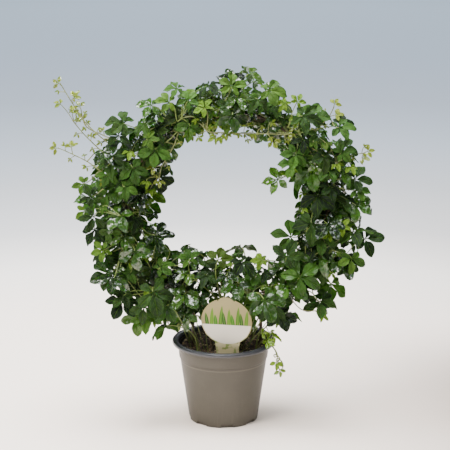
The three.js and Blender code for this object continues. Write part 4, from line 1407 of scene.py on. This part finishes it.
def leaf_low_down(pick):
    """A leaf that hangs low, a little above the pot's rim."""
    left = pick.random() < 0.7
    x = pick.uniform(-80, -16) if left else pick.uniform(34, 66)
    centre = Vector((x, pick.uniform(-42, 12), pick.uniform(122, 158))) * MM
    outward = Vector((x, 1.3 * centre.y / MM - 12, 0)).normalized()
    normal = 0.8 * UP + 0.7 * outward + 0.3 * FRONT + 0.7 * scatter(pick)
    forward = 0.6 * outward - 0.8 * UP + 0.6 * scatter(pick)
    return new_leaf(centre, normal, forward, pick.uniform(14, 26) * MM, pick.uniform(0, 0.15), pick)


middle = leaf_in_mound(random.Random(1))["centre"]
print("a leaf of the mound lies at", [round(1000 * c) for c in middle], "mm")

# %% [markdown]
# Some leaves catch the eye in the photograph, because they are large, pale or shiny, or stand out of the
# outline. These are placed one by one. A row holds the leaf's place in millimetres to the right, to the
# back and up, its heading in degrees seen from the front, its size in millimetres, how far it looks up, its
# age and its gloss.

# %% Leaves that catch the eye
KEY_LEAVES = [
    (7.5, -18, 399, 80, 19, 0.5, 0.35, 0.2),
    (14, -26, 384, 85, 20, 0.4, 0.03, 0.5),
    (10, -30, 370, -85, 22, 0.2, 0, 0.6),
    (46, -16, 392, 0, 20, 1.2, 0.35, 0.2),
    (83, -24, 384, 60, 12, 0.6, 0.6, 0.1),
    (69, -24, 381, 150, 11, 0.6, 0.6, 0.1),
    (89, -32, 369, -20, 23, 0.6, 0.05, 0.3),
    (132, -20, 352, 20, 20, 1.4, 0.1, 0.1),
    (79, -38, 175, 60, 30, 0.6, 0.12, 0.55),
    (73, -30, 199, 80, 22, 0.5, 0, 0.2),
    (56, -38, 151, -60, 26, 0.4, 0, 0.25),
    (-125, -34, 181, -100, 23, 0.9, 0.05, 1),
    (-111, -30, 154, -130, 18, 0.4, 0.05, 0),
    (-92, -34, 152, -85, 22, 0.3, 0, 0.1),
    (-74, -38, 159, -70, 27, 0.3, 0.03, 0.4),
    (-38, -36, 153, 120, 24, 1.0, 0.05, 1),
    (-44, -40, 140, -100, 19, 0.9, 0.1, 0.9),
    (-118, -24, 345, 90, 23, 0.4, 0.05, 0.3),
    (-123, -30, 322, 95, 20, 0.4, 0, 0.1),
    (-160, -10, 286, 185, 14, 0.8, 0.35, 0.3),
    (-152, -16, 274, 190, 17, 0.5, 0, 0.5),
    (-155, -22, 260, 205, 14, 0.6, 0.5, 0.2),
    (-148, -26, 252, -110, 20, 0.4, 0, 0.2),
    (-137, -26, 212, 200, 15, 0.5, 0.4, 0.1),
    (-135, -34, 328, -60, 17, 1.1, 0.05, 1),
    (-81, -20, 379, 180, 18, 1.3, 0.15, 0.8),
    (-40, -20, 384, 60, 16, 0.6, 0.1, 0.2),
    (-23, -24, 380, 120, 15, 0.8, 0.55, 0.3),
    (-61, -18, 382, 175, 16, 1.0, 0.4, 0.2),
    (-52, -8, 396, 160, 17, 1.6, 0.15, 0.3),
    (146, -24, 197, -90, 19, 0.3, 0.3, 0.2),
    (135, -30, 241, -20, 12, 0.6, 0.65, 0.2),
    (121, -34, 232, 200, 9, 0.6, 0.6, 0.2),
    (44, -30, 201, 180, 13, 0.8, 0.55, 0.2),
    (152, -16, 280, 10, 17, 1.2, 0.25, 0.3),
    (100, -34, 247, -100, 24, 0.4, 0, 0.2),
    (135, -22, 326, 20, 17, 0.6, 0.12, 0.3),
    (87, -30, 313, 190, 20, 0.8, 0.2, 0.3),
    (-111, -34, 288, -20, 17, 0.6, 0.25, 0.3),
    (-85, -30, 342, 0, 14, 0.6, 0.35, 0.3),
    (-72, -34, 193, 40, 16, 0.6, 0.2, 0.3),
    (-38, -26, 202, 100, 17, 0.9, 0.2, 0.3),
]


def key_leaf(row, pick, loose):
    """A leaf that catches the eye, near its place in the photograph."""
    x, y, z, heading, size, up, age, gloss = row
    turn = math.radians(heading + 30 * loose * (pick.random() - 0.5))
    centre = Vector((x, y, z)) * MM + scatter(pick) * 16 * MM * loose
    normal = FRONT + up * UP + 0.5 * scatter(pick)
    forward = Vector((math.cos(turn), -0.1, math.sin(turn)))
    leaf = new_leaf(centre, normal, forward, size * MM, age, pick)
    leaf["gloss"] = gloss
    leaf["tone"] = 0.35 if age < 0.1 else 0.75
    return leaf


print("leaves to place one by one:", len(KEY_LEAVES))

# %% [markdown]
# Where there is no room for such a leaf, it is moved a little at random, and more with each try. Its stalk
# comes from the nearest seat, but a seat that is in use counts as farther away, so that stalks don't fan
# out from one point.

# %% Growing leaves from their seats
KEY_TRIES = 60
SEAT_IN_USE = 8 * MM


def grow(leaf, seat, owner):
    """Adds a leaf to a spray, with its stalk from a seat on the shoot."""
    leaf["root"] = seat
    sprays[owner]["leaves"].append(leaf)
    note_leaf(leaf)


def place_key_leaf(number, row):
    """Grows the leaf of a row if there is room near its place, and tells whether there was."""
    for attempt in range(KEY_TRIES):
        leaf = key_leaf(row, random.Random(800000 + 61 * number + attempt), attempt / 30)
        if has_room(leaf):
            ways = [(seat - leaf["centre"]).length for seat, name in seats]
            ways = [way + SEAT_IN_USE * uses for way, uses in zip(ways, used)]
            chosen = ways.index(min(ways))
            used[chosen] += 1
            grow(leaf, *seats[chosen])
            return True
    print("no room for", row)
    return False


used = [0] * len(seats)
placed = sum(place_key_leaf(number, row) for number, row in enumerate(KEY_LEAVES))
print("leaves that catch the eye:", placed, "of", len(KEY_LEAVES))

# %% [markdown]
# The rest of the plant is filled by rule, the outline first and the depth after it. Each leaf gets up to 40
# tries, and the loneliest of the first five clear places is taken. A row of the table holds what is added,
# how many are wanted, the kind, the longest stalk in millimetres and the seed of its random draws.

# %% Filling the plant
TRIES = 40
CHOICE = 5
FILLINGS = [
    ("more leaves above the hoop", 12, leaf_in_mound, 52, 200000),
    ("lime leaves at the rim", 5, leaf_at_rim, 40, 250000),
    ("pale leaves under the top", 30, leaf_under_top, 34, 150000),
    ("more leaves above the pot", 24, leaf_low_down, 66, 300000),
    ("more leaves on the hoop", 150, leaf_in_ring, 44, 10000),
    ("more leaves in the crown", 45, leaf_over_pot, 50, 400000),
    ("more leaves behind the hoop", 80, leaf_behind_hoop, 50, 500000),
    ("more leaves near the wire", 150, leaf_near_wire, 30, 600000),
    ("small young leaves on the hoop", 50, lambda pick: leaf_in_ring(pick, small=True), 26, 700000),
    ("small young leaves in the crown", 14, lambda pick: leaf_over_pot(pick, small=True), 30, 900000),
]


def add_leaves(wanted, make, longest, seed):
    """Tries the wanted number of leaves, each with a stalk of no more than the longest, and counts them."""
    added = 0
    for number in range(wanted):
        found = []
        for attempt in range(TRIES):
            leaf = make(random.Random(seed + 977 * number + attempt))
            seat, owner = min(seats, key=lambda pair: (pair[0] - leaf["centre"]).length)
            reach = leaf["centre"] - seat
            if not 5 * MM < reach.length < longest or leaf["forward"].dot(reach.normalized()) < -0.3:
                continue
            if has_room(leaf):
                found.append((leaf, seat, owner))
            if len(found) == CHOICE:
                break
        if found:
            grow(*max(found, key=lambda one: loneliness(one[0]["centre"])))
            added += 1
    return added


for title, wanted, make, longest, seed in FILLINGS:
    print(f"{title}:", add_leaves(wanted, make, longest * MM, seed))

# %% [markdown]
# The runners are young shoots, and carry small lime leaves in turn on both sides. Their line is drawn
# through the frame's few points as a smooth curve, which the other shoots use later too.

# %% Small leaves along the runners
def line_through(points, spacing):
    """A smooth line through points, as closely spaced as asked."""
    ends = [2 * points[0] - points[1]] + list(points) + [2 * points[-1] - points[-2]]
    line = []
    for a, b, c, d in zip(ends, ends[1:], ends[2:], ends[3:]):
        steps = max(2, int((c - b).length / spacing))
        for i in range(steps):
            t = i / steps
            place = 2 * b + (c - a) * t
            place = place + (2 * a - 5 * b + 4 * c - d) * t * t
            place = place + (3 * b - a - 3 * c + d) * t**3
            line.append(0.5 * place)
    return line + [points[-1]]


def runner_leaves(name, spray, seed):
    pick = random.Random(seed)
    line = line_through(spray["line"], 3 * MM)
    side = 1
    for place, after in zip(line[6::4], line[7::4]):
        along = (after - place).normalized()
        side = -side
        out = (along.cross(FRONT) * side + 0.7 * along + 0.5 * scatter(pick)).normalized()
        size = pick.uniform(4.5, 7.5) * MM
        centre = place + out * pick.uniform(4, 8) * MM
        normal, forward = FRONT + 0.6 * UP + scatter(pick), out - 0.7 * UP
        olive = 0.75 if place.z > 0.28 else 0.0
        leaf = new_leaf(centre, normal, forward, size, pick.uniform(0.8, 1), pick, 3, olive)
        if has_room(leaf):
            grow(leaf, place, name)


for number, (name, spray) in enumerate(sprays.items()):
    if spray["young"]:
        runner_leaves(name, spray, 300 + number)
print("leaves in all:", sum(len(spray["leaves"]) for spray in sprays.values()))

# %% [markdown]
# ## The finishes of the leaves
# A leaf is deep green and glossy above, paler and matt below, with a fine lighter rib and side veins that
# run out towards the edge. The veins follow each leaflet through its own map, in which one direction runs
# from stalk to tip and the other from edge to edge. Young leaves are lime, or olive near the top. A bright
# shine on every leaf would turn the plant grey, so only glossy leaves have a clear coat, and it comes and
# goes in small specks.

# %% Leaf finishes
def leaf_finish(name, dark, mid, young, rib_shade, rough, depth, shine):
    finish = Finish(name)
    spot = finish.place()
    chart = finish.node("ShaderNodeUVMap", {"uv_map": "UVMap"})
    along = finish.part(chart, "X")
    aside = abs(finish.part(chart, "Y") - 0.5) * 2
    age, tone = finish.attribute("age"), finish.attribute("tone")
    gloss, olive = finish.attribute("gloss"), finish.attribute("olive")
    mottle, speck = finish.noise(spot, 260, 4), finish.noise(spot, 620, 2)
    sparkle = 0.25 + 0.75 * finish.band(speck, 0.42, 0.52)
    rib = 1 - finish.band(aside, 0.02, 0.11)
    phase = along * 30 - aside * 9
    vein = finish.band(phase.math("SINE", phase), 0.8, 1.0) * finish.band(aside, 1.0, 0.75)
    shade = finish.blend(tone**1.4 * 0.95 + (mottle - 0.5) * 0.4, dark, mid)
    shade = finish.blend(finish.band(age, 0.15, 1.0), shade, finish.blend(olive, young, "7F8434"))
    # A painted highlight: the edges of each leaflet are lightened towards the mid green.
    edge = finish.band(aside, 0.75, 1.0) * 0.25
    shade = finish.blend(edge, shade, mid)
    shade = finish.blend(rib * 0.24 + vein * 0.12, shade, rib_shade)
    puffed = (1 - vein) * 0.6 - rib * 0.9 + mottle * 0.5
    finish.set(
        Base_Color=shade,
        Roughness=rough - finish.band(gloss, 0.3, 0.75) * 0.48 + (mottle - 0.5) * 0.2,
        Coat_Weight=finish.band(gloss, 0.48, 0.92) * sparkle * shine,
        Normal=finish.bump(puffed, depth),
    )
    finish.set(Specular_IOR_Level=0.14, Coat_Roughness=0.12, Coat_IOR=1.65)
    finish.set(Subsurface_Weight=0.12, Subsurface_Scale=0.002, Subsurface_Radius=(0.4, 1.0, 0.15))
    return finish


leaf_top = leaf_finish("leaf_top", "091409", "3B5E1D", "749228", "668F2C", 0.65, 0.0012, 1.0)
leaf_under = leaf_finish("leaf_under", "22420E", "3C641A", "78A028", "6A9428", 0.7, 0.0004, 0.3)
print("leaf finishes:", leaf_top.material.name, leaf_under.material.name)

# %% [markdown]
# Shoots and leaf stalks are light green, more yellow where they are young, and darker close to the soil.

# %% The finish of green stems
green_stem = Finish("green_stem")
spot = green_stem.place()
age = green_stem.attribute("age")
streak = green_stem.noise(spot, 320, 3)
shoot_green = green_stem.blend(green_stem.band(streak, 0.35, 0.7), "586A28", "7A8A3E")
shoot_young = green_stem.blend(green_stem.band(streak, 0.35, 0.7), "5C602E", "80824C")
shoot_shade = green_stem.blend(age, shoot_green, shoot_young)
low_down = green_stem.band(green_stem.part(spot, "Z"), 0.15, 0.11)
green_stem.set(
    Base_Color=green_stem.blend(low_down * 0.4, shoot_shade, "3C4620"),
    Roughness=0.5 + streak * 0.12,
    Normal=green_stem.bump(streak, 0.0002),
)
print("stem finish:", green_stem.material.name, "with", len(green_stem.tree.nodes), "nodes")

# %% [markdown]
# ## The sprays
# A spray is a green shoot with its leaves. The leaflets are thin sheets first, which Solidify turns into
# closed blades half a millimetre thick, with the upper finish on one side and the lower on the other. The
# shoot and the leaf stalks are tubes. All of a spray's parts are joined to one piece, which takes the
# place of its plain node.

# %% Growing a spray
def tapered(line, thick, lost):
    """A line's places, each with its share of the radius, which shrinks towards the end."""
    return [(place, thick - lost * i / len(line)) for i, place in enumerate(line)]


def grow_spray(name, spray, seed):
    pick = random.Random(seed)
    blades = []
    for leaf in spray["leaves"]:
        blades += lay_leaf(leaf, pick)
    foliage = join("foliage", blades)
    dress(foliage, leaf_top, leaf_under)
    apply(foliage, "SOLIDIFY", thickness=0.5 * MM, offset=0, material_offset=1, material_offset_rim=0)
    line = line_through(spray["line"], 2 * MM)
    thin = 0.75 if spray["young"] else 1.0
    shoot = tube("shoot", [tapered(line, thin, 0.4 * thin)], 1.15 * MM, 1)
    petioles = []
    for leaf in spray["leaves"]:
        share = 0.55 + 0.45 * min(1, leaf["size"] / (20 * MM))
        petioles.append([(place, radius * share) for place, radius in petiole_line(leaf)])
    stems = join("stems", [shoot, tube("petioles", petioles, 0.68 * MM, 1)])
    dress(stems, green_stem)
    mark(stems, age=0.9 if spray["young"] else 0.15, tone=0.5)
    piece = join(name.replace("spray", "leaves").replace("runner", "young_shoot"), [foliage, stems])
    smooth(piece, 45)
    hand_in(piece, "young_leaf" if spray["young"] else "leaf", name)


for number, (name, spray) in enumerate(sprays.items()):
    grow_spray(name, spray, 1000 + number)
for model in leaflet_models:
    bpy.data.objects.remove(model)

# %% [markdown]
# ## Bare shoots
# Light green stems without leaves show in the gaps: some rise from the soil beside the label, others run
# across the face of the ring, and one curls over the pot's rim as a tendril. They could belong to the
# sprays, but no plain node stands for them, so they are one piece of their own, drawn as tubes through a
# few points each.

# %% The points of the bare shoots
BARE_SHOOTS = [
    [(-30, -12, 86), (-37, -18, 104), (-45, -23, 120), (-54, -26, 134), (-62, -24, 146)],
    [(-27, -16, 86), (-31, -21, 106), (-38, -26, 124), (-44, -27, 140)],
    [(-22, -14, 86), (-26, -21, 105), (-30, -25, 121), (-34, -26, 138)],
    [(-37, -8, 86), (-43, -13, 104), (-49, -17, 119), (-57, -18, 131)],
    [(-18, -18, 86), (-20, -23, 106), (-20, -27, 124), (-24, -27, 141)],
    [(17, -18, 86), (26, -24, 103), (36, -29, 118), (45, -32, 131), (52, -31, 143)],
    [(20, -22, 86), (31, -28, 102), (42, -32, 116), (50, -33, 128), (58, -32, 139)],
    [(15, -14, 86), (23, -20, 104), (32, -25, 120), (38, -26, 136)],
    [(27, -16, 86), (34, -21, 106), (41, -26, 122), (47, -27, 138)],
    [(-111, -22, 226), (-100, -27, 216), (-88, -28, 198), (-83, -24, 185)],
    [(-105, -24, 228), (-97, -28, 217), (-90, -27, 203)],
    [(-113, -20, 215), (-106, -26, 202), (-101, -27, 184), (-97, -24, 164)],
    [(-120, -20, 184), (-108, -26, 171), (-95, -27, 155), (-81, -22, 147)],
    [(-83, -20, 194), (-80, -24, 207), (-78, -22, 215)],
    [(-68, -22, 192), (-63, -24, 202), (-62, -22, 208), (-68, -18, 213)],
    [(77, -24, 223), (83, -28, 214), (88, -28, 202), (98, -22, 189)],
    [(86, -25, 219), (81, -27, 212), (78, -24, 204)],
    [(96, -24, 237), (94, -28, 218), (94, -26, 196)],
    [(101, -22, 239), (99, -28, 224), (102, -27, 203)],
    [(115, -22, 244), (116, -28, 224), (113, -26, 198)],
    [(90, -26, 198), (105, -30, 206), (121, -30, 216), (134, -24, 223)],
    [(123, -28, 211), (134, -30, 208), (147, -26, 201)],
    [(156, -22, 215), (154, -24, 208), (148, -24, 199), (143, -20, 191)],
    [(151, -24, 217), (144, -26, 209), (137, -24, 199)],
    [(-108, -22, 317), (-91, -27, 326), (-78, -26, 338), (-69, -20, 345)],
    [(-52, -22, 348), (-63, -26, 338), (-81, -26, 327), (-97, -20, 314)],
]
TENDRIL = [
    (56, -42, 101), (60, -45, 97), (62, -47, 92), (59, -48, 90), (58, -48, 93), (61, -48, 93), (65, -48, 88),
    (62, -48, 85), (61, -48, 88), (64, -48, 88), (68, -48, 83), (68, -48, 77), (65, -48, 75), (63, -48, 78),
]
print("bare shoots:", len(BARE_SHOOTS), "and a tendril of", len(TENDRIL), "points")

# %% [markdown]
# More stems wander along the hoop among the leaves. A stem that goes through a leaf would look wrong, so
# each is drawn 14 times at random, and the draw that cuts through the fewest leaves is kept.

# %% Stems in the gaps
WANDERING = 60
WANDERING_TRIES = 14
SET_BACK = 6 * MM

corners, faces = [], []
for spray in sprays.values():
    for leaf in spray["leaves"]:
        more_corners, more_faces = leaf_net(leaf)
        faces += [tuple(len(corners) + k for k in face) for face in more_faces]
        corners += more_corners
foliage_net = BVHTree.FromPolygons(corners, faces)


def cuts(line):
    """How often a line goes through a leaf."""
    steps = [(a, b - a) for a, b in zip(line, line[1:])]
    return sum(foliage_net.ray_cast(a, way.normalized(), way.length)[0] is not None for a, way in steps)


def tangled(pick):
    """A stem that wanders along the hoop among the leaves."""
    s, angle = pick.uniform(-0.3, 0.26), pick.uniform(0, 2 * math.pi)
    turn, beat = pick.uniform(-0.25, 0.25), pick.uniform(0.4, 0.9)
    radius = pick.uniform(5, 15)
    points = []
    for i in range(pick.randint(6, 13)):
        reach = radius * (1 + 0.35 * math.sin(beat * i + angle)) * (0.6 + 0.4 * fullness(s))
        points.append(hoop_at(s)[0] + away_from_hoop(s, angle) * reach * MM)
        s, angle = s + 9 * MM, angle + turn + 0.2 * math.sin(2 * beat * i)
    return line_through(points, 3 * MM)


lines = []
for shoot in BARE_SHOOTS:
    line = line_through([Vector(p) * MM for p in shoot], 3 * MM)
    if line[0].z > 0.12:
        line = [place - FRONT * SET_BACK for place in line]
    lines.append(tapered(line, 1, 0.4))
lines.append([(place, 1.0) for place in line_through([Vector(p) * MM for p in TENDRIL], 1.5 * MM)])

found = 0
for number in range(WANDERING):
    seeds = [5000 + 31 * number + attempt for attempt in range(WANDERING_TRIES)]
    line = min((tangled(random.Random(seed)) for seed in seeds), key=cuts)
    found += cuts(line)
    lines.append(tapered(line, 0.95, 0.3))
print("stems among the leaves:", WANDERING, "cuts:", found)
bare = tube("bare_shoots", lines, 0.65 * MM, 1)
smooth(bare, 60)
dress(bare, green_stem)
mark(bare, age=0.4, tone=0.5)
hand_in(bare, "leaf")
